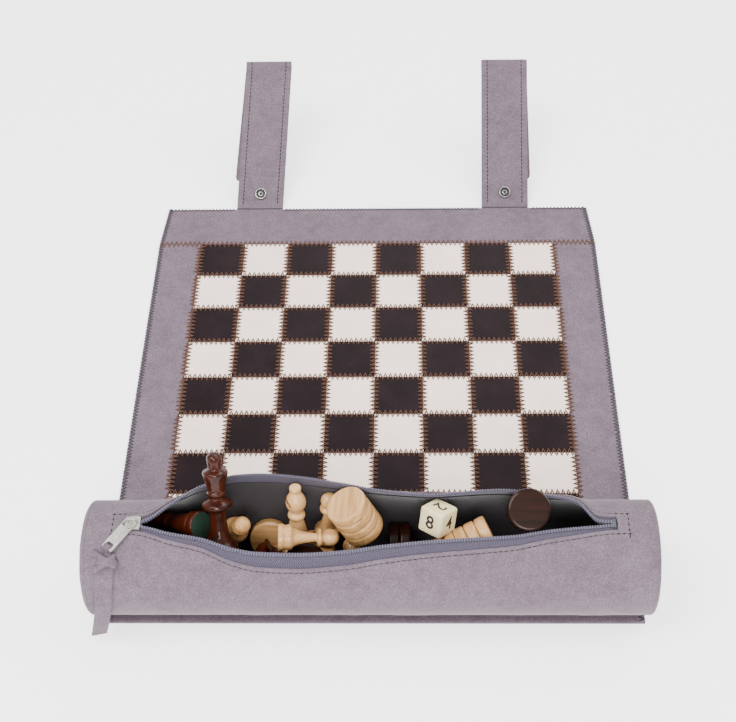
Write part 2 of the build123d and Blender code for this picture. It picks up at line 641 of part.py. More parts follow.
lean = Vector(0, -0.87, 0.5).normalized()
flat_seat = sqrt(INSIDE**2 - DISC_RADIUS**2) - REST    # a disc whose face leans on the lining
leaning_disc = stack(inside(-75, 0, 0) - lean * flat_seat, lean, 1)
bishop_step = stack(inside(-42, 17, trough(17, DISC_RADIUS)), Vector(0, 0, 1), 1)
tilted_stack = stack(inside(-4, 13, 15.9), Vector(-0.41, 0.04, 0.905), 4)
row_way = Vector(0.89, 0.32, 0.31)
disc_row = stack(inside(42.3, -10.3, 5.3), row_way, 6)
light_places = leaning_disc + bishop_step + tilted_stack + disc_row
light_places += on_edge(12.5, below_angle, 2) + on_edge(38 + 2 * (DISC_THICKNESS + DISC_GAP), -90, 1)
save(turned(DISC, light_places), "light_draughts")

save(turned(KING, [(inside(-107, -4.5, 6.2), Vector(-0.025, 0.533, 0.846))]), "dark_king")

end_on_pawn = (inside(-100.7, 28.6, -7.9), Vector(0.25, -0.46, 0.85))
lying_pawn = (inside(-65, -1.2, 26.6), Vector(1, 0.06, -0.085))
pawn_behind = (inside(-33, 22.7, -8), Vector(0.09, 0.175, 0.98))
pawn_below = (inside(-14, 7, trough(7, PAWN[1][0])), Vector(0, 0, 1))
save(turned(PAWN, [end_on_pawn, lying_pawn, pawn_behind, pawn_below]), "light_pawns")


def bishop(foot, way, slot_side):
    """A bishop, with the slanting slot across its head opening towards slot_side."""
    way = way.normalized()
    with BuildPart() as piece:
        add(turned(BISHOP, [(foot, way)]).part)
        across = way.cross(slot_side).normalized()
        slot_origin = foot + way * BISHOP[12][1] + slot_side.normalized() * BISHOP[11][0]
        slant = (way + slot_side.normalized()).normalized()
        with BuildSketch(Plane(origin=slot_origin, x_dir=across, z_dir=slant)):
            Rectangle(4 * BISHOP[11][0], BISHOP[11][0] * 1.3)
        extrude(amount=MITRE_SLOT / 2, both=True, mode=Mode.SUBTRACT)
    return piece


save(bishop(inside(-120, 8, 27.5), Vector(-0.80, 0.42, -0.43), Vector(0, -0.72, -0.7)), "dark_bishop")
save(bishop(inside(-53, 11.8, -8.2), Vector(0, 0.276, 0.961), Vector(1, 0, 0)), "light_bishop")

# Horse's head: a flat outline with its edges cut off, on a turned foot
knight_foot = inside(-76, 2, trough(2, KNIGHT_FOOT[1][0]))
with BuildPart() as dark_knight:
    add(turned(KNIGHT_FOOT, [(knight_foot, Vector(0, 0, 1))]).part)
    with BuildSketch(Plane(origin=knight_foot, x_dir=(1, 0, 0), z_dir=(0, -1, 0))) as profile:
        with BuildLine():
            Polyline(
                (-6.5, 13), (5.5, 13), (4.2, 21), (5.5, 25.5), (11.5, 28.5), (13, 32), (11.5, 35.5), (5, 42),
                (4, 47), (2, KNIGHT_HEIGHT), (-0.5, 46.5), (-4.5, 43), (-7.5, 36), (-8, 27), close=True,
            )
        make_face()
    extrude(profile.sketch, amount=4.5, both=True)
save(dark_knight, "dark_knight")

# Doubling cube, turned on two axes and lying on the row of discs
cube_middle = inside(48, 12.3, 30.4)
with BuildPart() as doubling_cube:
    turned_plane = Plane(origin=cube_middle, x_dir=(0.78, -0.6, 0.17), z_dir=(0.12, 0.42, 0.9))
    with BuildSketch(turned_plane.offset(-CUBE / 2)):
        Rectangle(CUBE, CUBE)
    extrude(amount=CUBE)
    fillet(doubling_cube.edges(), CUBE_ROUND)
save(doubling_cube, "doubling_cube")

print("inside radius", round(INSIDE, 2), "tail", round(TAIL, 1), "middle", round(Y_MIDDLE, 2))
print("tab pin", tab_pin, "loop", loop_centre, "across", tab_across)
print("strap base", strap_base, "fold centre", fold_centre)
print("board", round(BOARD_Y, 2), "far edge", round(FAR_EDGE, 2), "axis", round(AXIS_Y, 2), round(AXIS_Z, 2))
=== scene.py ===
# %% [markdown]
# # Roll-up games set
# A nubuck mat with a patchwork chessboard, a zipped round pouch full of wooden men, and two snap straps.
# The imported model fixes every place and every joint. This lesson dresses it: leather, threads, zip teeth,
# turned wood. Lengths below are in millimetres and `MM` turns them into metres.
import math
import bpy
import bmesh
import numpy as np
from mathutils import Matrix, Vector, noise


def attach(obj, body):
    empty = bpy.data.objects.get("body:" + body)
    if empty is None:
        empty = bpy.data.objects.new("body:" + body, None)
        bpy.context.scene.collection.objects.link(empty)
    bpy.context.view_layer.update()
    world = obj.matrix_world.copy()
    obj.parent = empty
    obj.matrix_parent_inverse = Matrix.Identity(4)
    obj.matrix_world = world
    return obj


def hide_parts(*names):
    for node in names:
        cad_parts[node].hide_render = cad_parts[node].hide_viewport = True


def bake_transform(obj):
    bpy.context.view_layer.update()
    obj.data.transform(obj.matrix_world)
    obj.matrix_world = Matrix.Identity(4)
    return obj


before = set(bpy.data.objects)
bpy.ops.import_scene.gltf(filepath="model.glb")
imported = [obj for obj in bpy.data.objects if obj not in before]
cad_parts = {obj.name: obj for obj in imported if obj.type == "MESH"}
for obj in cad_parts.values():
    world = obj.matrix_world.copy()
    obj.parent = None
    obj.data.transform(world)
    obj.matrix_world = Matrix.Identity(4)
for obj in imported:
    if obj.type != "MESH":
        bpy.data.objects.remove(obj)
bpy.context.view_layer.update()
MM = 0.001

# %% [markdown]
# ## The camera
# The photograph was taken from the pouch's side, looking down by almost 49 degrees, a touch from the right
# and a touch turned. A long lens keeps the board's sides nearly straight.

# %% Camera
def add(name, data):
    """A new object with this data, placed in the scene."""
    thing = bpy.data.objects.new(name, data)
    bpy.context.collection.objects.link(thing)
    return thing


def photo_camera(place, yaw, pitch, roll, focal_px, image_width=736):
    yaw, pitch, roll = (math.radians(a) for a in (yaw, pitch, roll))
    ahead = Vector((math.sin(yaw) * math.cos(pitch), math.cos(yaw) * math.cos(pitch), -math.sin(pitch)))
    right = Vector((math.cos(yaw), -math.sin(yaw), 0))
    up = right.cross(ahead)
    across = right * math.cos(roll) + up * math.sin(roll)
    upward = up * math.cos(roll) - right * math.sin(roll)
    data = bpy.data.cameras.new("photo_camera")
    data.sensor_width = 36
    data.lens = focal_px * 36 / image_width
    data.clip_end = 20
    camera = add("photo_camera", data)
    turn = Matrix((across, upward, -ahead)).transposed().to_4x4()
    camera.matrix_world = Matrix.Translation(Vector(place) * MM) @ turn
    bpy.context.scene.camera = camera
    return camera


camera = photo_camera((23.6, -811.5, 900.0), -2.14, 48.72, -1.82, 1414.2)
print("lens", round(camera.data.lens, 1), "mm")

# %% [markdown]
# ## The studio
# A white table under four soft round lights: the key from the left, a fill from the right, one from the
# front for the pouch, and a weak one from behind. The table glows a little, so that the floor comes out
# nearly white while the mat's edge still throws a faint shadow. The white sky keeps every side from going dark.

# %% Table and lights
def studio_light(name, place, aim, size, power):
    data = bpy.data.lights.new(name, "AREA")
    data.shape, data.size, data.energy = "DISK", size, power
    lamp = add(name, data)
    lamp.location = place
    lamp.rotation_euler = (Vector(aim) - Vector(place)).to_track_quat("-Z", "Y").to_euler()


def table_top():
    mesh = bpy.data.meshes.new("table")
    half, white = 6.0, (1, 1, 1, 1)
    mesh.from_pydata([(-half, -half, 0), (half, -half, 0), (half, half, 0), (-half, half, 0)], [], [(0, 1, 2, 3)])
    top = add("table", mesh)
    finish = bpy.data.materials.new("table_white")
    finish.use_nodes = True
    for label, value in (("Base Color", (0.9, 0.9, 0.905, 1)), ("Roughness", 0.8), ("Specular IOR Level", 0.1),
                         ("Emission Color", white), ("Emission Strength", 1.5)):
        finish.node_tree.nodes["Principled BSDF"].inputs[label].default_value = value
    mesh.materials.append(finish)
    top.location.z = -0.2 * MM


table_top()
studio_light("key_light", (-0.9, -0.5, 1.9), (0, 0, 0), 1.3, 54)
studio_light("fill_light", (1.2, 0.3, 1.6), (0, 0, 0), 1.6, 26)
studio_light("front_light", (0.0, -1.6, 1.15), (0, -0.25, 0.03), 0.8, 34)
studio_light("far_light", (0.1, 1.6, 1.3), (0, 0.1, 0), 1.2, 20)
world = bpy.data.worlds.new("studio_sky")
world.use_nodes = True
sky = world.node_tree.nodes["Background"].inputs
sky["Color"].default_value, sky["Strength"].default_value = (1, 1, 1, 1), 0.85
bpy.context.scene.world = world
print("lights ready")

# %% [markdown]
# ## Sizes that the pieces share
# The pouch is a tube with its axis along X. A slot along its top is open: the back lip stands up and the
# front lip has fallen forward. A short table holds how far each lip has moved, and a smooth curve that
# never overshoots is run through it. Each row gives x, how far the back lip is behind the axis and above
# it, how far the front lip is before it, and how much of the tape shows.

# %% Sizes
AXIS_Y, AXIS_Z = -247.38, 43.45
TUBE, PANEL, GAP, TAPE, LINING = 41.0, 1.4, 0.3, 0.7, 0.7
TAPE_OUT = TUBE - PANEL - GAP
LINING_OUT = TAPE_OUT - TAPE - GAP
INSIDE = LINING_OUT - LINING
HALF_TUBE, ZIP_SHIFT, TUCK = 198.0, 1.0, 5.0
MOUTH_END, ZIP_END, SLOT_END, SLIT_END, TAPE_END = 160.0, 168.0, 172.0, 172.6, 180.0
LEAST_SHOWN = 5.5
BOARD_Y, SQUARE, FAR_EDGE, FRONT_EDGE, MAT = -201.38, 40.0, 165.62, -276.38, 2.4
HALF_BOARD, HALF_MAT = 160.0, 198.5
UP = (0, 0, 1)


def closed(x, gap, shown):
    back = ZIP_SHIFT + gap / 2
    return (x, back, math.sqrt(TUBE**2 - back**2), gap / 2 - ZIP_SHIFT, shown)


BESIDE_MOUTH = ((400, .1, 0), (SLIT_END, .1, 0), (SLOT_END, .6, LEAST_SHOWN), (ZIP_END, .6, LEAST_SHOWN),
                (MOUTH_END, 2.4, LEAST_SHOWN))
MOUTH = [(-140, 17, 43.5, 5.6, 6.2), (-117, 36, 41, 9.8, 7.2), (-96, 38.5, 48.5, 16.5, 8.2),
         (-78, 38.5, 50, 19.3, 8.8), (-50, 36.5, 49, 20, 9), (-20, 33, 46, 18.5, 9), (12, 27.5, 43.8, 14.5, 9),
         (44, 25, 42.6, 11.5, 8.8), (76, 28, 43, 9.5, 8.5), (100, 31, 40, 8, 8), (124, 28.5, 37, 4, 7.4),
         (146, 19, 42, 1.5, 6.5)]
LIPS = np.array([closed(-x, gap, shown) for x, gap, shown in BESIDE_MOUTH] + MOUTH
                + [closed(*row) for row in reversed(BESIDE_MOUTH)])


def smooth_through(x, xs, ys):
    """Value at x of a smooth curve through the points, with no overshoot between them."""
    steps, rises = np.diff(xs), np.diff(ys)
    slopes = rises / steps
    ends = np.concatenate(([slopes[0]], np.zeros(len(xs) - 2), [slopes[-1]]))
    for i in range(1, len(xs) - 1):
        if slopes[i - 1] * slopes[i] > 0:
            w1, w2 = 2 * steps[i] + steps[i - 1], steps[i] + 2 * steps[i - 1]
            ends[i] = (w1 + w2) / (w1 / slopes[i - 1] + w2 / slopes[i])
    i = min(max(int(np.searchsorted(xs, x)) - 1, 0), len(xs) - 2)
    t, h = (x - xs[i]) / steps[i], steps[i]
    return ((1 + 2 * t) * (1 - t)**2 * ys[i] + t * (1 - t)**2 * h * ends[i]
            + t * t * (3 - 2 * t) * ys[i + 1] + t * t * (t - 1) * h * ends[i + 1])


def lips(x):
    """How far the back lip is behind and above the axis, the front lip before it, and the tape shown."""
    return [float(smooth_through(x, LIPS[:, 0], LIPS[:, k])) for k in (1, 2, 3, 4)]


print("lips at the middle", [round(v, 1) for v in lips(0)])

# %% [markdown]
# ## Making meshes
# Most soft pieces here are a grid of points that runs along one way and across another. Two such grids, an
# outside and an inside, close into a wall with real thickness. `wall` joins their rims. `dress` ends every
# stiff piece: it puts the piece on the body that carries it and hides the solids that it stands for.

# %% Mesh helpers
def shade(mesh, angle):
    """Smooth all over, but sharp where two faces meet at more than this angle."""
    mesh.polygons.foreach_set("use_smooth", [True] * len(mesh.polygons))
    mesh.set_sharp_from_angle(angle=math.radians(angle))


def new_piece(name, points, faces, finish, smooth_angle=40):
    mesh = bpy.data.meshes.new(name)
    mesh.from_pydata([tuple(Vector(p) * MM) for p in points], [], faces)
    mesh.validate()
    mesh.materials.append(finish)
    shade(mesh, smooth_angle)
    return add(name, mesh)


def final_mesh(thing):
    """The mesh that an object ends in after its curves, text or modifiers."""
    return bpy.data.meshes.new_from_object(thing.evaluated_get(bpy.context.evaluated_depsgraph_get()))


def curve_mesh(name, data):
    shape = add(name, data)
    made = final_mesh(shape)
    bpy.data.objects.remove(shape)
    return made


def dress(piece, body, slot_name, *nodes):
    """Puts a piece on its body and hides the solids that it stands for. slot_name is not used."""
    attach(piece, body)
    if nodes:
        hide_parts(*nodes)


def wall(outer, inner):
    """Closes two grids of rows into a wall. Every row has the same number of points."""
    rows, cols = len(outer), len(outer[0])
    points = [p for row in outer for p in row] + [p for row in inner for p in row]
    low, faces = rows * cols, []
    for r in range(rows - 1):
        for c in range(cols - 1):
            a, b = r * cols + c, (r + 1) * cols + c
            faces.append((a, b, b + 1, a + 1))
            faces.append((low + a, low + a + 1, low + b + 1, low + b))
    for r in range(rows - 1):
        for c in (0, cols - 1):
            a, b = r * cols + c, (r + 1) * cols + c
            faces.append((a, low + a, low + b, b) if c == 0 else (a, b, low + b, low + a))
    for c in range(cols - 1):
        for r in (0, rows - 1):
            a = r * cols + c
            faces.append((a, a + 1, low + a + 1, low + a) if r == 0 else (a, low + a, low + a + 1, a + 1))
    return points, faces


def polar(centre_y, radius, angle):
    """Point of the pouch's section: y and z at this angle, counted from behind towards the top."""
    return AXIS_Y + centre_y + radius * math.cos(angle), AXIS_Z + radius * math.sin(angle)


print("helpers ready")

# %% [markdown]
# ## Shader groups
# Effects that several materials share are groups with named inputs. `nap` is the cloudy colour and fine
# fuzz of nubuck. `hide` is the pebble of smooth leather. `timber` stretches noise along the grain. A group
# gives only colours and values, and each material keeps its own shader.

# %% Shader tools
def link_all(tree, pairs):
    for a, b in pairs:
        tree.links.new(a, b)


def new_tree(name, kind, inputs, outputs):
    """A node group with named inputs and outputs, given as {name: kind}. Whoever uses it sets every input."""
    tree = bpy.data.node_groups.new(name, kind)
    for side, sockets in (("INPUT", inputs), ("OUTPUT", outputs)):
        for label, sort in sockets.items():
            tree.interface.new_socket(label, in_out=side, socket_type="NodeSocket" + sort)
    return tree, tree.nodes.new("NodeGroupInput"), tree.nodes.new("NodeGroupOutput")


def put(tree, kind, inputs=None, **settings):
    """A new node. Each input gets a value, or a link where the value is another node's socket."""
    node = tree.nodes.new(kind)
    for label, value in settings.items():
        setattr(node, label, value)
    for label, value in (inputs or {}).items():
        if hasattr(value, "links"):
            tree.links.new(value, node.inputs[label])
        else:
            node.inputs[label].default_value = value
    return node


def noise_node(tree, where, scale, detail=4.0, rough=0.55, stretch=None, distortion=0.0):
    if stretch:
        where = put(tree, "ShaderNodeMapping", {"Vector": where, "Scale": stretch}).outputs["Vector"]
    return put(tree, "ShaderNodeTexNoise", {"Vector": where, "Scale": scale, "Detail": detail,
                                            "Roughness": rough, "Distortion": distortion}).outputs["Fac"]


def mix_colour(tree, factor, a, b):
    return put(tree, "ShaderNodeMix", {"Factor": factor, 6: a, 7: b}, data_type="RGBA").outputs[2]


def maths(tree, kind, *values):
    return put(tree, "ShaderNodeMath", dict(enumerate(values)), operation=kind).outputs[0]


def vector_maths(tree, kind, a, b=None, scale=None):
    given = {label: value for label, value in {0: a, 1: b, "Scale": scale}.items() if value is not None}
    return put(tree, "ShaderNodeVectorMath", given, operation=kind).outputs[0]


def spread(tree, value, low, high, to_low=0.0, to_high=1.0):
    return put(tree, "ShaderNodeMapRange", {"Value": value, "From Min": low, "From Max": high,
                                            "To Min": to_low, "To Max": to_high}).outputs["Result"]


def nap_group():
    tree, given, out = new_tree("nap", "ShaderNodeTree", {
        "Vector": "Vector", "Base": "Color", "Rubbed": "Color", "Shaded": "Color"},
        {"Color": "Color", "Height": "Float"})
    v = given.outputs["Vector"]
    clouds = spread(tree, noise_node(tree, v, 26, 3), 0.35, 0.68)
    patches = spread(tree, noise_node(tree, v, 130, 4, 0.6), 0.36, 0.66)
    fuzz = noise_node(tree, v, 1500, 3, 0.7)
    specks = noise_node(tree, v, 760, 4, 0.75)
    tone = mix_colour(tree, clouds, given.outputs["Base"], given.outputs["Shaded"])
    tone = mix_colour(tree, maths(tree, "MULTIPLY", patches, 0.45), tone, given.outputs["Rubbed"])
    grain = spread(tree, specks, 0.32, 0.68, 0.66, 1.30)
    height = maths(tree, "ADD", maths(tree, "MULTIPLY", fuzz, 0.6), maths(tree, "MULTIPLY", specks, 0.7))
    link_all(tree, [(vector_maths(tree, "SCALE", tone, scale=grain), out.inputs["Color"]),
                    (height, out.inputs["Height"])])
    return tree


def hide_group():
    tree, given, out = new_tree("hide", "ShaderNodeTree", {"Vector": "Vector", "Base": "Color", "Worn": "Color"},
                                {"Color": "Color", "Rough": "Float", "Height": "Float"})
    v = given.outputs["Vector"]
    pebble = put(tree, "ShaderNodeTexVoronoi", {"Vector": v, "Scale": 1100}, feature="F1")
    cloud = spread(tree, noise_node(tree, v, 34, 4), 0.38, 0.68)
    fine = noise_node(tree, v, 420, 4)
    tone = mix_colour(tree, cloud, given.outputs["Base"], given.outputs["Worn"])
    height = maths(tree, "ADD", maths(tree, "MULTIPLY", pebble.outputs["Distance"], 0.7), fine)
    link_all(tree, [(tone, out.inputs["Color"]), (height, out.inputs["Height"]),
                    (spread(tree, fine, 0.3, 0.7, 0.40, 0.56), out.inputs["Rough"])])
    return tree


def timber_group():
    tree, given, out = new_tree("timber", "ShaderNodeTree", {"Vector": "Vector", "Pale": "Color", "Dark": "Color"},
                                {"Color": "Color", "Rough": "Float", "Height": "Float"})
    v = given.outputs["Vector"]
    streaks = spread(tree, noise_node(tree, v, 1.0, 4, 0.6, (380, 380, 26), 0.4), 0.32, 0.68)
    bands = spread(tree, noise_node(tree, v, 1.0, 2, 0.5, (120, 120, 14), 1.2), 0.35, 0.65)
    pores = noise_node(tree, v, 1.0, 3, 0.6, (1500, 1500, 160))
    both = maths(tree, "ADD", maths(tree, "MULTIPLY", streaks, 0.5), maths(tree, "MULTIPLY", bands, 0.5))
    tone = mix_colour(tree, both, given.outputs["Pale"], given.outputs["Dark"])
    flecks = spread(tree, pores, 0.56, 0.70, 1.0, 0.78)
    link_all(tree, [(vector_maths(tree, "SCALE", tone, scale=flecks), out.inputs["Color"]),
                    (spread(tree, streaks, 0.0, 1.0, 0.34, 0.48), out.inputs["Rough"]),
                    (pores, out.inputs["Height"])])
    return tree


NAP, HIDE, TIMBER = nap_group(), hide_group(), timber_group()
print("groups", NAP.name, HIDE.name, TIMBER.name)

# %% [markdown]
# ## Finishes
# Nubuck, leather and wood place a group, feed it the piece's own coordinates, and send the results to one
# Principled shader and one Bump node. Thread, cloth and metal have a short pattern of their own. Nubuck gets
# sheen, because its short fibres catch the light edge on. Wood is varnished, so it gets a coat. Metal on the
# slider is paint over zinc.

# %% Finishes
def colour(r, g, b):
    """Linear colour of an sRGB one given in 0 to 255."""
    def lin(v):
        v /= 255
        return v / 12.92 if v <= 0.04045 else ((v + 0.055) / 1.055)**2.4
    return (lin(r), lin(g), lin(b), 1)


def new_finish(name, rough=0.6, metal=0.0, spec=0.5, sheen=0.0, coat=0.0, coat_rough=0.1):
    finish = bpy.data.materials.new(name)
    finish.use_nodes = True
    tree = finish.node_tree
    shader = tree.nodes["Principled BSDF"]
    for label, value in (("Roughness", rough), ("Metallic", metal), ("Specular IOR Level", spec),
                         ("Sheen Weight", sheen), ("Coat Weight", coat), ("Coat Roughness", coat_rough)):
        shader.inputs[label].default_value = value
    if sheen:
        shader.inputs["Sheen Roughness"].default_value = 0.4
    return finish, tree, shader


def place(tree, attribute=None):
    """Where a pattern is read: the object's own coordinates, or a vector kept on the mesh."""
    if attribute:
        return put(tree, "ShaderNodeAttribute", attribute_name=attribute).outputs["Vector"]
    return put(tree, "ShaderNodeTexCoord").outputs["Object"]


def bump(tree, shader, height, strength, distance):
    node = put(tree, "ShaderNodeBump", {"Height": height, "Strength": strength, "Distance": distance})
    tree.links.new(node.outputs["Normal"], shader.inputs["Normal"])


def grouped(name, group, colours, strength, distance, attribute=None, **looks):
    """A finish whose pattern comes from a group. The last two measures are those of its bump."""
    finish, tree, shader = new_finish(name, **looks)
    out = put(tree, "ShaderNodeGroup", {"Vector": place(tree, attribute), **colours}, node_tree=group).outputs
    for result, use in (("Color", "Base Color"), ("Rough", "Roughness")):
        if result in out:
            tree.links.new(out[result], shader.inputs[use])
    bump(tree, shader, out["Height"], strength, distance)
    return finish


def nubuck(name, **colours):
    return grouped(name, NAP, colours, 0.35, 0.00025, rough=0.88, spec=0.12, sheen=0.16)


def smooth_leather(name, base, worn, strength, spec=0.42):
    return grouped(name, HIDE, {"Base": base, "Worn": worn}, strength, 0.00012, spec=spec)


def wood(name, pale, dark, coat, spec):
    return grouped(name, TIMBER, {"Pale": pale, "Dark": dark}, 0.12, 0.0001, "along_grain",
                   spec=spec, coat=coat, coat_rough=0.08)


def thread(name, base, light):
    """Fibres of two tones, also for the zip's coil and the felt."""
    finish, tree, shader = new_finish(name, 0.65, spec=0.35, sheen=0.2)
    fibres = noise_node(tree, place(tree), 2600, 3, 0.7)
    tone = mix_colour(tree, spread(tree, fibres, 0.35, 0.65), base, light)
    tree.links.new(tone, shader.inputs["Base Color"])
    bump(tree, shader, fibres, 0.5, 0.0001)
    return finish


def woven(name, dark, light, pitch):
    """Herringbone: slanting ribs that change side every few millimetres, on U and V in metres."""
    finish, tree, shader = new_finish(name, 0.9, spec=0.2, sheen=0.25)
    uv = put(tree, "ShaderNodeUVMap", uv_map="cloth").outputs["UV"]
    u, v = put(tree, "ShaderNodeSeparateXYZ", {0: uv}).outputs[:2]
    chevron = maths(tree, "PINGPONG", v, pitch * 1.6)
    wave = maths(tree, "SINE", maths(tree, "MULTIPLY", maths(tree, "ADD", u, chevron), 2 * math.pi / pitch))
    fuzz = noise_node(tree, uv, 900, 3)
    ribs = maths(tree, "ADD", maths(tree, "MULTIPLY", wave, 0.5), fuzz)
    tree.links.new(mix_colour(tree, spread(tree, ribs, -0.1, 1.1), dark, light), shader.inputs["Base Color"])
    bump(tree, shader, ribs, 0.6, 0.00018)
    return finish


def metal_finish(name, base, scuffed, metal, rough):
    finish, tree, shader = new_finish(name, rough, metal, 0.5)
    marks = noise_node(tree, place(tree), 260, 5, 0.65)
    tone = mix_colour(tree, spread(tree, marks, 0.42, 0.66), base, scuffed)
    link_all(tree, [(tone, shader.inputs["Base Color"]),
                    (spread(tree, marks, 0.3, 0.7, rough - 0.08, rough + 0.12), shader.inputs["Roughness"])])
    bump(tree, shader, marks, 0.12, 0.0001)
    return finish


MAUVE = dict(Base=colour(103, 90, 100), Rubbed=colour(117, 103, 113), Shaded=colour(93, 80, 90))
nubuck_finish = nubuck("mauve_nubuck", **MAUVE)
strap_finish = nubuck("strap_nubuck", **MAUVE)
dark_leather = smooth_leather("dark_leather", colour(22, 12, 15), colour(30, 18, 22), 0.4, 0.08)
light_leather = smooth_leather("light_leather", colour(250, 229, 216), colour(242, 219, 206), 0.25, 0.3)
lining_finish = woven("charcoal_lining", colour(38, 33, 36), colour(56, 50, 53), 0.0011)
tape_finish = woven("zip_tape_cloth", colour(50, 46, 58), colour(92, 86, 102), 0.0016)
teeth_finish = thread("zip_teeth", colour(74, 71, 86), colour(108, 104, 120))
seam_thread = thread("brown_thread", colour(54, 29, 15), colour(100, 60, 32))
grey_thread = thread("dark_grey_thread", colour(34, 31, 38), colour(54, 50, 58))
pouch_thread = thread("plum_thread", colour(14, 10, 13), colour(28, 22, 26))
stop_paint = metal_finish("stop_paint", colour(78, 77, 88), colour(60, 59, 68), 0.3, 0.5)
zinc_paint = metal_finish("zip_paint", colour(168, 166, 158), colour(138, 136, 130), 0.25, 0.42)
snap_metal = metal_finish("snap_nickel", colour(176, 174, 172), colour(120, 118, 116), 1.0, 0.3)
# Dark metal for the disc in each snap socket's well: painted shade, standing in for the shadow down in the well.
well_shade_metal = metal_finish("snap_painted_well_shade", colour(44, 42, 43), colour(60, 58, 58), 0.6, 0.6)
dark_wood = wood("dark_wood", colour(64, 22, 8), colour(20, 7, 3), 0.3, 0.07)
disc_wood = wood("dark_disc_wood", colour(42, 17, 9), colour(15, 6, 3), 0.22, 0.07)
light_wood = wood("light_wood", colour(211, 167, 112), colour(160, 112, 62), 0.28, 0.3)
felt_finish = thread("green_felt", colour(4, 34, 20), colour(9, 46, 28))
ivory = smooth_leather("ivory_plastic", colour(230, 216, 172), colour(220, 204, 156), 0.06)
print("finishes", len(bpy.data.materials))

# %% [markdown]
# ## Closed grids and turned shapes
# These helpers finish the mesh tools. `grid_piece` makes a wall from two grids, gives it cloth coordinates,
# and turns it inside out if its volume comes out negative. `turned` spins a profile about an axis and keeps
# the shape's own coordinates, so that wood grain follows each man however it lies. `sawn_shape` cuts a flat
# shape with rounded edges, and `joined` makes one object of several.

# %% Grids and lathe
def face_outward(mesh):
    volume = 0.0
    points = [v.co for v in mesh.vertices]
    for face in mesh.polygons:
        corners = face.vertices
        for i in range(1, len(corners) - 1):
            a, b, c = points[corners[0]], points[corners[i]], points[corners[i + 1]]
            volume += a.dot(b.cross(c))
    if volume < 0:
        mesh.flip_normals()


def grid_piece(name, outer, inner, finish, cloth=None):
    """A wall between two grids of points. cloth is a grid of (u, v) in millimetres."""
    piece = new_piece(name, *wall(outer, inner), finish)
    face_outward(piece.data)
    if cloth:
        flat = [uv for row in cloth for uv in row] * 2
        layer = piece.data.uv_layers.new(name="cloth")
        for loop in piece.data.loops:
            u, v = flat[loop.vertex_index]
            layer.data[loop.index].uv = (u * MM, v * MM)
    return piece


def soft_corners(profile, share=0.32):
    """Rounds each inner corner of a profile with a short curve."""
    rounded = [profile[0]]
    for before, corner, after in zip(profile, profile[1:], profile[2:]):
        a, b, c = (np.array(p, float) for p in (before, corner, after))
        room = share * min(np.linalg.norm(a - b), np.linalg.norm(c - b), 3.0)
        start = b + (a - b) / np.linalg.norm(a - b) * room
        end = b + (c - b) / np.linalg.norm(c - b) * room
        for t in (0, 1 / 3, 2 / 3, 1):
            rounded.append(tuple(start * (1 - t)**2 + b * 2 * t * (1 - t) + end * t * t))
    return rounded + [profile[-1]]


def frame_at(foot, way):
    """Matrix whose Z is the way a turned shape stands, with its foot at this point in millimetres."""
    z = Vector(way).normalized()
    x = Vector(UP).cross(z) if abs(z.z) < 0.99 else Vector((1, 0, 0))
    x = (x - z * x.dot(z)).normalized()
    turn = Matrix((x, z.cross(x), z)).transposed().to_4x4()
    return Matrix.Translation(Vector(foot)) @ turn


def spun(profile, places, segments=48, seed=0, plank=False):
    """Points, faces and local coordinates of one profile spun at several places. The grain of the wood runs
    along the axis, or across it where the piece is cut from a plank."""
    points, faces, grain = [], [], []

    def in_wood(p):
        return (Vector((p.z, p.y, p.x)) if plank else p) + Vector((37.0, 11.0, 53.0)) * turn

    for number, (foot, way) in enumerate(places):
        matrix = frame_at(foot, way)
        turn = number * 1.7 + seed
        start = len(points)
        for r, z in profile[1:-1]:
            for k in range(segments):
                angle = 2 * math.pi * k / segments
                local = Vector((r * math.cos(angle), r * math.sin(angle), z))
                points.append(matrix @ local)
                grain.append(in_wood(local) * MM)
        rings = len(profile) - 2
        for z in (profile[0][1], profile[-1][1]):
            points.append(matrix @ Vector((0, 0, z)))
            grain.append(in_wood(Vector((0, 0, z))) * MM)
        low, high = start + rings * segments, start + rings * segments + 1
        for k in range(segments):
            n = (k + 1) % segments
            faces.append((low, start + n, start + k))
            for ring in range(rings - 1):
                a, b = start + ring * segments, start + (ring + 1) * segments
                faces.append((a + k, a + n, b + n, b + k))
            last = start + (rings - 1) * segments
            faces.append((high, last + k, last + n))
    return points, faces, grain


def keep_grain(piece, grain):
    attribute = piece.data.attributes.new("along_grain", "FLOAT_VECTOR", "POINT")
    attribute.data.foreach_set("vector", [c for v in grain for c in v])


def turned(name, profile, places, finish, segments=48, seed=0, plank=False):
    points, faces, grain = spun(profile, places, segments, seed, plank)
    piece = new_piece(name, points, faces, finish, 50)
    keep_grain(piece, grain)
    face_outward(piece.data)
    return piece


def carried(mesh, matrix):
    """Points and faces of a mesh, moved by a matrix."""
    return [matrix @ v.co for v in mesh.vertices], [tuple(f.vertices) for f in mesh.polygons]


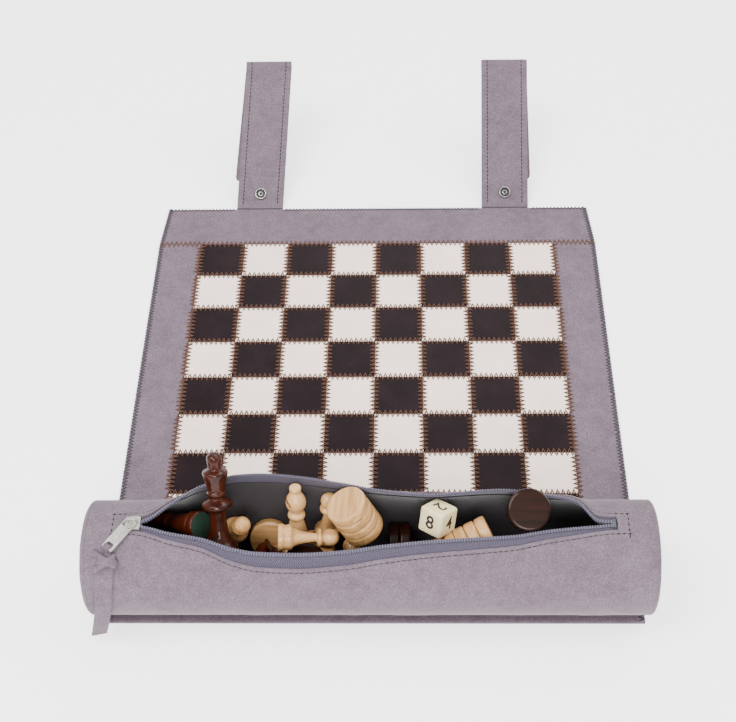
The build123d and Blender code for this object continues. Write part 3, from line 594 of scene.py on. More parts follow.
def sawn_shape(name, outlines, half_thick, rounding, matrix, finish):
    """A flat shape with rounded edges, from closed outlines in millimetres. Later outlines are holes."""
    data = bpy.data.curves.new(name, "CURVE")
    data.dimensions, data.fill_mode = "2D", "BOTH"
    data.extrude, data.bevel_depth, data.offset = half_thick - rounding, rounding, -rounding
    data.bevel_resolution = 3
    for outline in outlines:
        spline = data.splines.new("POLY")
        spline.points.add(len(outline) - 1)
        for point, (px, py) in zip(spline.points, outline):
            point.co = (px, py, 0, 1)
        spline.use_cyclic_u = True
    piece = new_piece(name, *carried(curve_mesh(name, data), matrix), finish)
    bm = bmesh.new()
    bm.from_mesh(piece.data)
    bmesh.ops.remove_doubles(bm, verts=bm.verts, dist=1e-6)
    bmesh.ops.recalc_face_normals(bm, faces=bm.faces)
    bm.to_mesh(piece.data)
    bm.free()
    shade(piece.data, 40)
    back = matrix.inverted()
    keep_grain(piece, [(back @ (v.co / MM)) * MM for v in piece.data.vertices])
    return piece


def joined(name, pieces):
    """One object from several that share their kind of attributes."""
    with bpy.context.temp_override(active_object=pieces[0], selected_editable_objects=pieces,
                                   selected_objects=pieces):
        bpy.ops.object.join()
    pieces[0].name = name
    return pieces[0]


print("grid and lathe ready")

# %% [markdown]
# ## Sewing with Geometry Nodes
# A seam starts as a bare line of edges. Each point of it keeps the direction that faces out of the leather.
# `zigzag` samples the line evenly and swings the samples left and right, so that the thread rises between
# two needle holes. `in_a_row` puts one rounded shape on each sample, long or wide, for running stitches
# and for the turns of the zip's coil.

# %% Sewing trees
def sewing_tree(name, inputs):
    return new_tree(name, "GeometryNodeTree", {"Geometry": "Geometry", **inputs, "Thread": "Material"},
                    {"Geometry": "Geometry"})


def sampled_line(tree, given, spacing):
    curve = put(tree, "GeometryNodeMeshToCurve", {"Mesh": given.outputs["Geometry"]})
    even = put(tree, "GeometryNodeResampleCurve", {"Curve": curve.outputs[0], "Length": spacing}, mode="LENGTH")
    outward = put(tree, "GeometryNodeInputNamedAttribute", {"Name": "outward"}, data_type="FLOAT_VECTOR")
    tangent = put(tree, "GeometryNodeInputTangent")
    return even.outputs[0], outward.outputs["Attribute"], tangent.outputs[0]


def finish_tree(tree, given, out, shape):
    smooth = put(tree, "GeometryNodeSetShadeSmooth", {"Geometry": shape})
    real = put(tree, "GeometryNodeRealizeInstances", {"Geometry": smooth.outputs[0]})
    painted = put(tree, "GeometryNodeSetMaterial", {"Geometry": real.outputs[0],
                                                    "Material": given.outputs["Thread"]})
    tree.links.new(painted.outputs[0], out.inputs["Geometry"])
    return tree


def zigzag_tree():
    tree, given, out = sewing_tree("zigzag", {
        "Quarter Pitch": "Float", "Half Width": "Float", "Rise": "Float", "Thread Radius": "Float"})
    even, outward, tangent = sampled_line(tree, given, given.outputs["Quarter Pitch"])
    turn = maths(tree, "MULTIPLY", put(tree, "GeometryNodeInputIndex").outputs[0], math.pi / 2)
    side = maths(tree, "MULTIPLY", maths(tree, "COSINE", turn), given.outputs["Half Width"])
    rise = maths(tree, "MULTIPLY", maths(tree, "ABSOLUTE", maths(tree, "SINE", turn)), given.outputs["Rise"])
    across = vector_maths(tree, "CROSS_PRODUCT", tangent, outward)
    shift = vector_maths(tree, "ADD", vector_maths(tree, "SCALE", across, scale=side),
                         vector_maths(tree, "SCALE", outward, scale=rise))
    moved = put(tree, "GeometryNodeSetPosition", {"Geometry": even, "Offset": shift})
    ring = put(tree, "GeometryNodeCurvePrimitiveCircle",
               {"Resolution": 6, "Radius": given.outputs["Thread Radius"]}, mode="RADIUS")
    tube = put(tree, "GeometryNodeCurveToMesh", {"Curve": moved.outputs[0], "Profile Curve": ring.outputs[0],
                                                 "Fill Caps": True})
    return finish_tree(tree, given, out, tube.outputs[0])


def in_a_row_tree():
    tree, given, out = sewing_tree("in_a_row", {"Pitch": "Float", "Size": "Vector"})
    even, outward, tangent = sampled_line(tree, given, given.outputs["Pitch"])
    ball = put(tree, "GeometryNodeMeshUVSphere", {"Segments": 8, "Rings": 6, "Radius": 0.5})
    face = put(tree, "FunctionNodeAxesToRotation", {"Primary Axis": outward, "Secondary Axis": tangent},
               primary_axis="Z", secondary_axis="X")
    many = put(tree, "GeometryNodeInstanceOnPoints", {
        "Points": even, "Instance": ball.outputs[0], "Rotation": face.outputs[0], "Scale": given.outputs["Size"]})
    return finish_tree(tree, given, out, many.outputs[0])


ZIGZAG, IN_A_ROW = zigzag_tree(), in_a_row_tree()


def sewn(name, lines, tree, **values):
    """Runs a sewing tree along lines of (point, outward) in millimetres and keeps the result as a mesh."""
    points, edges, outward = [], [], []
    for line in lines:
        start = len(points)
        points += [tuple(Vector(p) * MM) for p, _ in line]
        outward += [c for _, way in line for c in way]
        edges += [(start + i, start + i + 1) for i in range(len(line) - 1)]
    mesh = bpy.data.meshes.new(name + "_line")
    mesh.from_pydata(points, edges, [])
    mesh.attributes.new("outward", "FLOAT_VECTOR", "POINT").data.foreach_set("vector", outward)
    guide = add(name + "_line", mesh)
    sewing = guide.modifiers.new("sewing", "NODES")
    sewing.node_group = tree
    for item in tree.interface.items_tree:
        if item.name in values:
            sewing[item.identifier] = values[item.name]
    piece = add(name, final_mesh(guide))
    guide.modifiers.remove(sewing)
    bpy.data.objects.remove(guide)
    return piece


def zigzag(name, lines, thread, pitch=4.2, width=7.2, rise=0.45, radius=0.56):
    return sewn(name, lines, ZIGZAG, **{"Quarter Pitch": pitch / 4 * MM, "Half Width": width / 2 * MM,
                                        "Rise": rise * MM, "Thread Radius": radius * MM, "Thread": thread})


def running(name, lines, thread, pitch, size):
    return sewn(name, lines, IN_A_ROW, **{"Pitch": pitch * MM, "Size": [s * MM for s in size], "Thread": thread})


print("sewing trees", ZIGZAG.name, IN_A_ROW.name)

# %% [markdown]
# ## The mat
# The nubuck is cut here into nine skins. Each one reaches from the middle of one row to the middle of the
# next, so the hinge line runs through its own middle. The squares lie in a shallow tray. The leather dips a
# little along every seam, where the thread pulls it down.

# %% Mat skins
ROW_NODES = ["front_band"] + [f"mat_row_{k}" for k in range(8, 0, -1)] + ["top_band"]
SEAMS = [BOARD_Y + SQUARE * i for i in range(9)]
HALF_BEND = 6.0


def mat_half_width(y):
    return HALF_MAT - 4.0 * min(max((y - SEAMS[8]) / (FAR_EDGE - SEAMS[8]), 0.0), 1.0)


def ripple(x, y, size=24.0, amount=0.16):
    return amount * noise.noise(Vector((x / size, y / size, 3.1)))


def mat_top(x, y):
    if abs(x) <= HALF_BOARD and SEAMS[0] <= y <= SEAMS[8]:
        return MAT / 2
    edge = min(mat_half_width(y) - abs(x), y - FRONT_EDGE, FAR_EDGE - y)
    seam = math.hypot(max(abs(x) - HALF_BOARD, 0), max(SEAMS[0] - y, y - SEAMS[8], 0))
    if y > SEAMS[8]:
        seam = y - SEAMS[8]
    edge_roll = 0.75 * max(0.0, 1 - edge / 1.3)**2
    seam_dip = 0.45 * max(0.0, 1 - seam / 2.2)**2
    return MAT - (edge_roll + seam_dip) + ripple(x, y) * min(1.0, max(edge, 0) / 6)


def bend_mat(piece):
    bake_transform(piece)


def spaced(start, end, step):
    count = max(1, round(abs(end - start) / step))
    return [start + (end - start) * i / count for i in range(count + 1)]


def skin_span(i):
    start = FRONT_EDGE if i == 0 else SEAMS[i] - SQUARE / 2
    end = FAR_EDGE if i == 8 else SEAMS[i] + SQUARE / 2
    return start, end


border = [HALF_MAT, 198.2, 197.8, 197.2, *spaced(196, 163, 3), 161.8, 160.9, 160.3, 160.1]
columns = [-x for x in border] + [-HALF_BOARD, *spaced(-150, 150, 10), HALF_BOARD] + border[::-1]
near_seam = [*spaced(-5, -1, 1), -0.3, -0.1, 0, 0.1, 0.3, *spaced(1, 5, 1)]
for i in range(9):
    start, end = skin_span(i)
    ys = [*spaced(start, SEAMS[i] - HALF_BEND, 3), *[SEAMS[i] + d for d in near_seam],
          *spaced(SEAMS[i] + HALF_BEND, end, 3)]
    if i == 0:
        ys = [FRONT_EDGE, FRONT_EDGE + 0.3, FRONT_EDGE + 0.8] + ys[1:]
    if i == 8:
        ys = ys[:-1] + [FAR_EDGE - 0.8, FAR_EDGE - 0.3, FAR_EDGE]
    upper, lower = [], []
    for y in ys:
        narrowed = (mat_half_width(y) - HALF_BOARD) / (HALF_MAT - HALF_BOARD)
        xs = [x if abs(x) <= HALF_BOARD else math.copysign(HALF_BOARD + (abs(x) - HALF_BOARD) * narrowed, x)
              for x in columns]
        upper.append([(x, y, mat_top(x, y)) for x in xs])
        lower.append([(x, y, 0.02) for x in xs])
    skin = grid_piece(f"mat_skin_{i}", upper, lower, nubuck_finish)
    bend_mat(skin)
    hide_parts(*ROW_NODES[i:i + 2])
print("mat skins", 9)

# %% [markdown]
# ## The board
# Sixty-four squares of smooth leather, four of one colour to a piece. Every square is a shallow pillow:
# flat in the middle and rolled down at its edges.

# %% Squares
ROLLED_EDGE = 2.4


def both_ways(shares):
    """The same shares on both sides of a middle, which is 0."""
    return [-u for u in shares] + [0] + shares[::-1]


def squares(row, dark):
    half = SQUARE / 2 - 0.1
    steps = both_ways([1, .992, .98, .95, .9, .8, .6, .4, .2])
    parts = []
    for column in range(1, 9):
        if ((row + column) % 2 == 0) != dark:
            continue
        cx, cy = (column - 0.5) * SQUARE - HALF_BOARD, SEAMS[8 - row] + SQUARE / 2
        upper, lower = [], []
        for v in steps:
            line = []
            for u in steps:
                x, y = cx + u * half, cy + v * half
                edge = half * (1 - max(abs(u), abs(v)))
                drop = 0.42 * max(0.0, 1 - edge / ROLLED_EDGE)**2
                line.append((x, y, MAT - drop + ripple(x + 90 * dark, y, 15, 0.1) * min(1, edge / 4)))
            upper.append(line)
            lower.append([(x, y, MAT / 2 + 0.02) for x, y, _ in line])
        parts.append(wall(upper, lower))
    points, faces = [], []
    for some, joins in parts:
        faces += [tuple(i + len(points) for i in f) for f in joins]
        points += some
    tone = "dark" if dark else "light"
    name = f"{tone}_squares_row_{row}"
    piece = new_piece(name + "_leather", points, faces, dark_leather if dark else light_leather)
    face_outward(piece.data)
    dress(piece, f"row_{row}", tone + "_leather", name)


for row in range(1, 9):
    squares(row, True)
    squares(row, False)
print("squares", 64)

# %% [markdown]
# ## The mat's threads
# Brown zigzag stitches hold every pair of squares edge to edge. The ones across the mat lie on the hinge
# lines. A dark grey zigzag binds the mat's long edges, and its far edge beside the straps.

# %% Mat threads
ON_MAT = MAT + 0.05
FINE = dict(pitch=3.2, rise=0.3, radius=0.45)
for row in range(1, 9):
    low, high = SEAMS[8 - row] + 2.6, SEAMS[8 - row] + SQUARE - 2.6
    lines = [[((x, y, ON_MAT), UP) for y in (low, high)] for x in spaced(-HALF_BOARD, HALF_BOARD, SQUARE)]
    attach(zigzag(f"column_stitches_row_{row}", lines, seam_thread), f"row_{row}")
for i in range(9):
    reach = HALF_BOARD + 1.5 if i < 8 else mat_half_width(SEAMS[8]) - 1
    line = [((x, SEAMS[i], ON_MAT), UP) for x in (-reach, reach)]
    bend_mat(zigzag(f"seam_stitches_{i}", [line], seam_thread))
    start, end = skin_span(i)
    lines = [[((side * (mat_half_width(y) - 2.4), y, MAT - 0.05), UP)
              for y in spaced(max(start, FRONT_EDGE + 1), end, 4)] for side in (-1, 1)]
    bend_mat(zigzag(f"edge_stitches_{i}", lines, grey_thread, width=4.6, **FINE))
beside_straps = [(-193, -133), (-86, 95), (143, 193)]
lines = [[((x, FAR_EDGE - 1.6, ON_MAT), UP) for x in spaced(a, b, 6)] for a, b in beside_straps]
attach(zigzag("far_edge_stitches", lines, grey_thread, width=3.2, **FINE), "far_band")
print("mat threads", 8 + 9 + 9 + 1)

# %% [markdown]
# ## The pouch
# Every layer of the pouch follows the same two lips. A point on the back wall is named by how far it is
# up the wall from the tube's widest place, and a point on the front wall by its angle round the axis. The
# leather has a folded hem beside the zip, with a groove where its stitches lie, and a few soft puckers that
# push outward only, so they never meet the lining.

# %% Pouch surfaces
CREST = math.pi / 2 - math.asin(ZIP_SHIFT / TUBE)
HEM_STITCHES, HEM_END = 3.0, 7.5


def back_frame(x):
    """The back wall's arc at x: its centre behind the axis, its radius, and the angle of its lip."""
    back, rise = lips(x)[:2]
    inset = TUBE - back
    radius = (inset**2 + rise**2) / (2 * inset)
    return TUBE - radius, radius, math.asin(min(rise / radius, 1.0))


def back_point(x, s, drop):
    """Point on the back wall, s millimetres up its outside from the widest place, drop deep in it."""
    centre, radius = (0, TUBE) if s < 0 else back_frame(x)[:2]
    return Vector((x, *polar(centre, radius - drop, s / radius)))


def back_length(x):
    centre, radius, top = back_frame(x)
    return radius * top


def front_angle(distance):
    return math.pi / 2 + math.asin(min(max(distance / TUBE, -0.9), 0.95))


def front_point(x, angle, drop):
    return Vector((x, *polar(0, TUBE - drop, angle)))


def tape_seen(x):
    return max(lips(x)[3], LEAST_SHOWN)


def fade(x, low, high):
    t = min(max((x - low) / (high - low), 0.0), 1.0)
    return t * t * (3 - 2 * t)


def pucker(x, s, from_edge):
    """How far the leather stands out here: a hem, a groove for the stitches, and soft puckers."""
    open_part = 1 - fade(abs(x), ZIP_END, SLIT_END)
    hem = 0.5 * (1 - fade(from_edge, 4.6, 6.0)) - 0.75 * max(0.0, 1 - abs(from_edge - HEM_STITCHES) / 0.9)**2
    hem -= 0.5 * max(0.0, 1 - from_edge / 1.0)**2
    wave = noise.noise(Vector((x / 17, s / 38, 7.7))) + 0.5 * noise.noise(Vector((x / 8, s / 16, 2.2)))
    soft = fade(x, -160, -140) * (1 - fade(x, 160, 185))
    near = 1 - fade(from_edge, 6, 34)
    return hem * open_part + soft * max(0.0, wave) * (0.3 + 0.9 * near)


beyond_mouth = [198, 196, 192, 188, 184, 180, 177, 175, 173, 172.6, 172.4, 172.2, 172, 170, 168, 164, 160]
stations = [-x for x in beyond_mouth] + spaced(-157, 157, 3) + beyond_mouth[::-1]
hem_steps = [0, 0.4, 0.9, 1.6, 2.2, 2.6, HEM_STITCHES, 3.4, 3.9, 4.5, 5.2, 6.0, HEM_END]


def back_rows(drop_out, drop_in, leather):
    outer, inner, cloth = [], [], []
    for x in stations:
        end = back_length(x) - lips(x)[3] if abs(x) < SLIT_END else TUBE * CREST
        ss = [-TUBE * math.pi / 2 * (1 - i / 12) for i in range(12)]
        ss += [(end - HEM_END) * i / 16 for i in range(16)] + [end - h for h in reversed(hem_steps)]
        lifts = [pucker(x, s, end - s) * fade(s, -50, -20) if leather else 0.0 for s in ss]
        outer.append([back_point(x, s, drop_out - lift) for s, lift in zip(ss, lifts)])
        inner.append([back_point(x, s, drop_in) for s in ss])
        cloth.append([(x, s) for s in ss])
    return outer, inner, cloth


def front_rows(drop_out, drop_in, leather):
    outer, inner, cloth = [], [], []
    for x in stations:
        front, shown = lips(x)[2:]
        start = TUBE * (front_angle(front + shown) if abs(x) < SLIT_END else CREST)
        under = 1.5 * math.pi * TUBE - start - HEM_END
        ss = [start + h for h in hem_steps] + [start + HEM_END + under * i / 28 for i in range(1, 29)]
        lifts = [pucker(x, -s, s - start) * (1 - fade(s, 150, 175)) if leather else 0.0 for s in ss]
        outer.append([front_point(x, s / TUBE, drop_out - lift) for s, lift in zip(ss, lifts)])
        inner.append([front_point(x, s / TUBE, drop_in) for s in ss])
        cloth.append([(x, -s) for s in ss])
    return outer, inner, cloth


def pouch_piece(name, rows, finish, slot_name, node):
    dress(grid_piece(name, *rows[:2], finish, rows[2]), "pouch", slot_name, node)


for side, rows in (("back", back_rows), ("front", front_rows)):
    pouch_piece(f"pouch_{side}_leather", rows(0, PANEL, True), nubuck_finish, "nubuck", f"pouch_{side}_panel")
for side, rows in (("back", back_rows), ("front", front_rows)):
    pouch_piece(f"pouch_{side}_cloth", rows(TUBE - LINING_OUT, TUBE - INSIDE, False), lining_finish, "lining",
                f"pouch_{side}_lining")


def strip_rows(is_back, drop_out, drop_in, high, low, reach, steps=8):
    """Tape or coil along a lip, from this far to that far from it. low may follow the tape that shows."""
    outer, inner, cloth = [], [], []
    for x in [x for x in stations if abs(x) <= min(reach, SLOT_END)]:
        depths = [high + (low(tape_seen(x)) - high) * i / steps for i in range(steps + 1)]
        for grid, drop in ((outer, drop_out), (inner, drop_in)):
            if is_back:
                grid.append([back_point(x, back_length(x) - depth, drop) for depth in depths])
            else:
                grid.append([front_point(x, front_angle(lips(x)[2] + depth), drop) for depth in depths])
        cloth.append([(x, depth) for depth in depths])
    return outer, inner, cloth


tape_drop = TUBE - TAPE_OUT
for is_back, side in ((True, "back"), (False, "front")):
    tape = strip_rows(is_back, tape_drop, tape_drop + TAPE, 0, lambda shown: shown + TUCK, TAPE_END)
    pouch_piece(f"{side}_tape", tape, tape_finish, "zip_tape", f"zip_{side}_tape")
    core = strip_rows(is_back, 0.9, tape_drop - 0.1, 0.25, lambda shown: 2.5, ZIP_END, 3)
    pouch_piece(f"{side}_coil_core", core, tape_finish, "zip_coil", f"zip_{side}_coil")


def out_of_tube(point, centre=0.0):
    return Vector((0, point.y - AXIS_Y - centre, point.z - AXIS_Z)).normalized()


def lip_line(is_back, depth, drop, xs):
    """A line beside a lip, with the way out of the wall at each point."""
    line = []
    for x in xs:
        if is_back:
            centre, radius, top = back_frame(x)
            point = back_point(x, radius * top - depth(x), drop(x))
        else:
            on_tape = min(depth(x), tape_seen(x))
            centre = 0.0
            point = front_point(x, front_angle(lips(x)[2] + on_tape) + (depth(x) - on_tape) / TUBE, drop(x))
        line.append((point, out_of_tube(point, centre)))
    return line


def hem_line(is_back):
    """The stitches 3 mm inside the leather's edge, as high as the leather is there."""
    def depth(x):
        return tape_seen(x) + HEM_STITCHES

    def drop(x):
        if abs(x) > ZIP_END:
            return -0.1
        if is_back:
            along = back_length(x) - depth(x)
        else:
            along = -front_angle(lips(x)[2] + tape_seen(x)) * TUBE - HEM_STITCHES
        return -0.12 - pucker(x, along, HEM_STITCHES)
    return lip_line(is_back, depth, drop, spaced(-TAPE_END, TAPE_END, 1.5))


HEM_SEWING = (pouch_thread, 3.9, (3.1, 0.95, 0.7))
TOOTH_PITCH, TOOTH_DROP = 1.9, 0.75
for is_back, side in ((True, "back"), (False, "front")):
    line = lip_line(is_back, lambda x: 1.4, lambda x: TOOTH_DROP, spaced(-159, ZIP_END, 1.5))
    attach(running(f"{side}_teeth", [line], teeth_finish, TOOTH_PITCH, (1.25, 3.0, 1.6)), "pouch")
    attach(running(f"{side}_hem_stitches", [hem_line(is_back)], *HEM_SEWING), "pouch")
corner = math.asin(9.3 / TUBE)
for side, end in (("left", -TAPE_END), ("right", TAPE_END)):
    points = [front_point(end, a, -0.1) for a in spaced(math.pi / 2 - corner, math.pi / 2 + corner, 0.03)]
    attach(running(f"end_stitches_{side}", [[(point, out_of_tube(point)) for point in points]], *HEM_SEWING),
            "pouch")
closed_teeth = [[(front_point(x, math.pi / 2 - 0.0244 + side * 0.041, TOOTH_DROP), UP)
                 for x in spaced(-171, -160, 1.5)] for side in (-1, 1)]
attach(running("teeth_in_slider", closed_teeth, teeth_finish, TOOTH_PITCH, (1.25, 2.9, 1.5)), "pouch")

# %% [markdown]
# ## The pouch's ends
# Each end is a round of nubuck, a little domed, with its rim rolled over and a shallow groove where it is
# turned in. The left one bulges more than the right, as in the photograph.

# %% Pouch ends
def pouch_end(name, side, bulge):
    profile = [(0, 5.05), (12, 4.95), (24, 4.6), (31, 4.2), (34.2, 3.7), (35.2, 3.15), (36.2, 3.5), (38.0, 3.2),
               (39.8, 2.3), (40.8, 1.1), (41.0, 0.05), (39.6, 0.05), (37, 1.4), (20, 3.2), (0, 3.65)]
    profile = [(r, z + bulge * (1 - (r / TUBE)**2)) for r, z in profile]
    points, faces, grain = spun(soft_corners(profile), [((side * HALF_TUBE, AXIS_Y, AXIS_Z), (side, 0, 0))], 96)
    for p in points:
        r = math.hypot(p.y - AXIS_Y, p.z - AXIS_Z)
        if r < 33 and abs(p.x) > HALF_TUBE + 3.9:
            p.x += side * 0.4 * noise.noise(Vector((p.y / 16, p.z / 16, side)))
    cap = new_piece(f"pouch_{name}_round", points, faces, nubuck_finish)
    face_outward(cap.data)
    dress(cap, "pouch", "nubuck", f"pouch_{name}_end")


pouch_end("left", -1, 3.5)
pouch_end("right", 1, 0.0)
print("ends 2")

# %% [markdown]
# ## Slider, pull tab and puller
# The zip's end stop keeps its solid and gets softer edges. The slider is cast: two shield-shaped plates,
# two rails and a wedge between them, and an arch on top. The pull tab is stamped, with a slot at one end
# for the arch, a bar that hinges in it, and a hole at the other end for the leather. The leather puller is a
# loop through that hole, a knot of three wraps, and a strip that hangs down the front of the tube.

# %% Zip hardware
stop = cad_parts["zip_stop"]
rounding = stop.modifiers.new("rounded_edges", "BEVEL")
rounding.width, rounding.segments, rounding.limit_method = 0.2 * MM, 2, "ANGLE"
rounding.angle_limit = math.radians(35)
stop.data.materials.clear()
stop.data.materials.append(stop_paint)

SLIDER_X, ZIP_Y = -166.0, AXIS_Y + ZIP_SHIFT
TAB_PIN = Vector((SLIDER_X, ZIP_Y, 87.8521))


def at_slider(x, y, up):
    return Matrix.Translation(Vector((SLIDER_X + x, ZIP_Y + y, AXIS_Z + up)))


def wire(name, points, radius):
    data = bpy.data.curves.new(name, "CURVE")
    data.dimensions, data.bevel_depth, data.bevel_resolution, data.use_fill_caps = "3D", radius * MM, 4, True
    spline = data.splines.new("POLY")
    spline.points.add(len(points) - 1)
    for point, p in zip(spline.points, points):
        point.co = (*(Vector(p) * MM), 1)
    made = curve_mesh(name, data)
    made.materials.clear()
    made.materials.append(zinc_paint)
    shade(made, 50)
    return add(name, made)


def shield(half_width):
    side = [(-5.5, 0.55), (-5.2, 0.74), (-4.4, 0.86), (-2, 0.94), (1, 1), (4.3, 1), (5.2, 0.88), (5.5, 0.62)]
    return [(x, -w * half_width) for x, w in side] + [(x, w * half_width) for x, w in reversed(side)]


def zip_slider():
    rail = [(-4.2, -0.4), (5.2, -0.4), (5.2, 0.4), (-4.2, 0.4)]
    wedge = [(2, 0), (3, -0.5), (5.4, -0.5), (5.4, 0.5), (3, 0.5)]
    cast = (("slider_top", shield(5.3), 0.55, 0.35, 0, 41.8), ("slider_under", shield(4.2), 0.55, 0.2, 0, 37.6),
            ("slider_rail", rail, 0.8, 0.15, -4.75, 40.5), ("slider_rail", rail, 0.8, 0.15, 4.75, 40.5),
            ("slider_wedge", wedge, 1.6, 0.1, 0, 39.7))
    parts = [sawn_shape(name, [outline], half_thick, rounding, at_slider(0, y, up), zinc_paint)
             for name, outline, half_thick, rounding, y, up in cast]
    side = [(3.25, 42.2), (3.25, 44.65), (2.9, 45.45), (2.1, 45.95)]
    arch = [(-x, up) for x, up in side] + side[::-1]
    parts.append(wire("slider_arch", [at_slider(x, 0, up).translation for x, up in arch], 0.62))
    dress(joined("slider_body", parts), "slider", "zip_metal", "zip_slider")


def rounded_box(x0, x1, y0, y1, r):
    corners = [(x0 + r, y0 + r, 180), (x1 - r, y0 + r, 270), (x1 - r, y1 - r, 0), (x0 + r, y1 - r, 90)]
    return [(cx + r * math.cos(math.radians(a + t)), cy + r * math.sin(math.radians(a + t)))
            for cx, cy, a in corners for t in (0, 22.5, 45, 67.5, 90)]


TAB_WAY = Vector((-0.606305, -0.776033, -0.173648)).normalized()
ACROSS = Vector((0.788011, -0.615661, 0))
LOOP = Vector((-181.4, -266.091, 83.4414))
PULLER_X = LOOP.x - 1.5


def pull_tab():
    matrix = Matrix.Translation(TAB_PIN) @ Matrix((TAB_WAY, ACROSS, TAB_WAY.cross(ACROSS))).transposed().to_4x4()
    outlines = [rounded_box(-0.2, 26.5, -4.6, 4.6, 1.3), rounded_box(0.7, 6.2, -3.7, 3.7, 0.8),
                rounded_box(21.1, 24.3, -2.7, 2.7, 0.9)]
    plate = sawn_shape("tab_plate", outlines, 0.7, 0.3, matrix, zinc_paint)
    bar = wire("tab_bar", [TAB_PIN + ACROSS * w for w in (-4.3, 4.3)], 0.7)
    dress(joined("pull_tab_stamped", [plate, bar]), "pull_tab", "zip_metal", "zip_pull_tab")


zip_slider()
pull_tab()


def lean_left(share):
    """The strip doesn't hang quite straight: it wanders this far to the left on its way down."""
    return -13.0 * share**1.5


def ring_through_hole():
    lift = TAB_WAY.cross(ACROSS).normalized()
    outer, inner = [], []
    for k in range(25):
        a = 2 * math.pi * k / 24
        way = TAB_WAY * math.cos(a) + lift * math.sin(a)
        for grid, r in ((outer, 2.65), (inner, 1.5)):
            grid.append([LOOP + way * r + ACROSS * w for w in (-2.3, -2.1, -1, 0, 1, 2.1, 2.3)])
    return wall(outer, inner)


def puller():
    low, high, tip = 41.3, 43.1, 6.0
    loop_angle = math.atan2(LOOP.z - AXIS_Z, LOOP.y - AXIS_Y)
    start = loop_angle + (2.65 + 2.2) / high
    neck = [[[Vector((LOOP.x + w, *polar(0, r, a))) for w in (-2.3, -2, 0, 2, 2.3)]
             for a in spaced(loop_angle + 0.02, start + 0.10, 0.02)] for r in (low + 1.2, low)]
    hang = [[], []]
    across = both_ways([6, 5.85, 5.5, 4, 2])
    for grid, r in zip(hang, (high, low)):
        sinks = [0.3 * max(0.0, (abs(w) - 5.2) / 0.8)**2 if r == high else 0 for w in across]
        for a in spaced(start + 0.06, math.pi, 0.05):
            sway = lean_left(0.5 * (a - start) / (math.pi - start)) + 0.25 * noise.noise(Vector((a * 6, 1, 4)))
            grid.append([Vector((PULLER_X + w + sway, *polar(0, r - sink, a))) for w, sink in zip(across, sinks)])
        for z in spaced(AXIS_Z, tip, 1.5)[1:]:
            share = (AXIS_Z - z) / (AXIS_Z - tip)
            sway = lean_left(0.5 + share / 2)
            grid.append([Vector((PULLER_X + w + sway, AXIS_Y - r + sink, z + share * 4.0 * (w + 6) / 12))
                         for w, sink in zip(across, sinks)])
    parts = [ring_through_hole(), wall(*neck), wall(*hang)]
    middle = start + 0.5 * 8.4 / high
    turns, sides = 32, 12
    for tilt, shift, size in ((0.5, -1.1, 1.05), (-0.62, 1.5, 0.95), (0.12, 0.2, 1.12)):
        points = []
        for a in [2 * math.pi * k / turns for k in range(turns)]:
            wrap_x, out = 6.7 * size * math.cos(a), 3.5 * size * math.sin(a) + 3.4
            for b in [2 * math.pi * m / sides for m in range(sides)]:
                thick, along = 1.35 * math.sin(b), shift + 2.3 * math.cos(b) + tilt * wrap_x
                points.append(Vector((PULLER_X + wrap_x + thick * math.cos(a),
                                      *polar(0, low + out + thick * math.sin(a), middle + along / high))))
        faces = []
        for k in range(turns):
            a, b = k * sides, (k + 1) % turns * sides
            faces += [(a + m, a + (m + 1) % sides, b + (m + 1) % sides, b + m) for m in range(sides)]
        parts.append((points, faces))
    made = []
    for number, (points, faces) in enumerate(parts):
        piece = new_piece(f"puller_part_{number}", points, faces, strap_finish)
        face_outward(piece.data)
        made.append(piece)
    dress(joined("puller_leather", made), "puller", "strap_leather", "leather_puller")


puller()
print("puller ready")

# %% [markdown]
# ## Straps and snaps
# A strap is one long piece of nubuck. It runs up, folds over and comes back down. A line of stitches runs
# inside each long edge, and a bead in dark grey thread closes the gap at its root; its dark colour is also
# painted shade for the crease there. The snaps are turned rings of bright metal, and a disc of dark metal in
# the socket's well is painted shade for the shadow down in it.

# %% Straps
STRAPS = {"left": -109.5, "right": 119.0}
BASE, FOLD_CENTRE = Vector((0, 167.02, 1.15)), Vector((0, 284.28, 74.0905))
RUN, TAIL, FOLD, THICK, STRAP_WIDTH = 138.0, 107.8, 5.1, 2.2, 43.0
SEWN_IN, TIP_ROUND, SOCKET_AT, STUD_FROM_TIP = 5.5, 5.0, 14.0, 13.0
RISE, FALL, FOLD_START, FOLD_END, BEND_WAY = 34, 220, 124, -50, 127
LEAN = {"left": (7.5, -4.5), "right": (1.2, 4.5)}


def heading(degrees):
    """The way in the plane of Y and Z that is so many degrees up from Y."""
    return Vector((0, math.cos(math.radians(degrees)), math.sin(math.radians(degrees))))


def strap_path():
    """Middle line of a strap: points, normals and the distance along it."""
    path = [(BASE + heading(RISE) * d, heading(FOLD_START), d) for d in spaced(0, RUN, 3)]
    path += [(FOLD_CENTRE + heading(a) * FOLD, heading(a), RUN + FOLD * math.radians(FOLD_START - a))
             for a in spaced(FOLD_START, FOLD_END, 7)[1:]]
    point, normal, along = path[-1]
    return path + [(point + heading(FALL) * d, heading(FOLD_END), along + d) for d in spaced(0, TAIL, 2)[1:]]


def strap_half_width(from_tip):
    short = max(0.0, TIP_ROUND - from_tip)
    return STRAP_WIDTH / 2 - TIP_ROUND + math.sqrt(max(0.0, TIP_ROUND**2 - short**2))


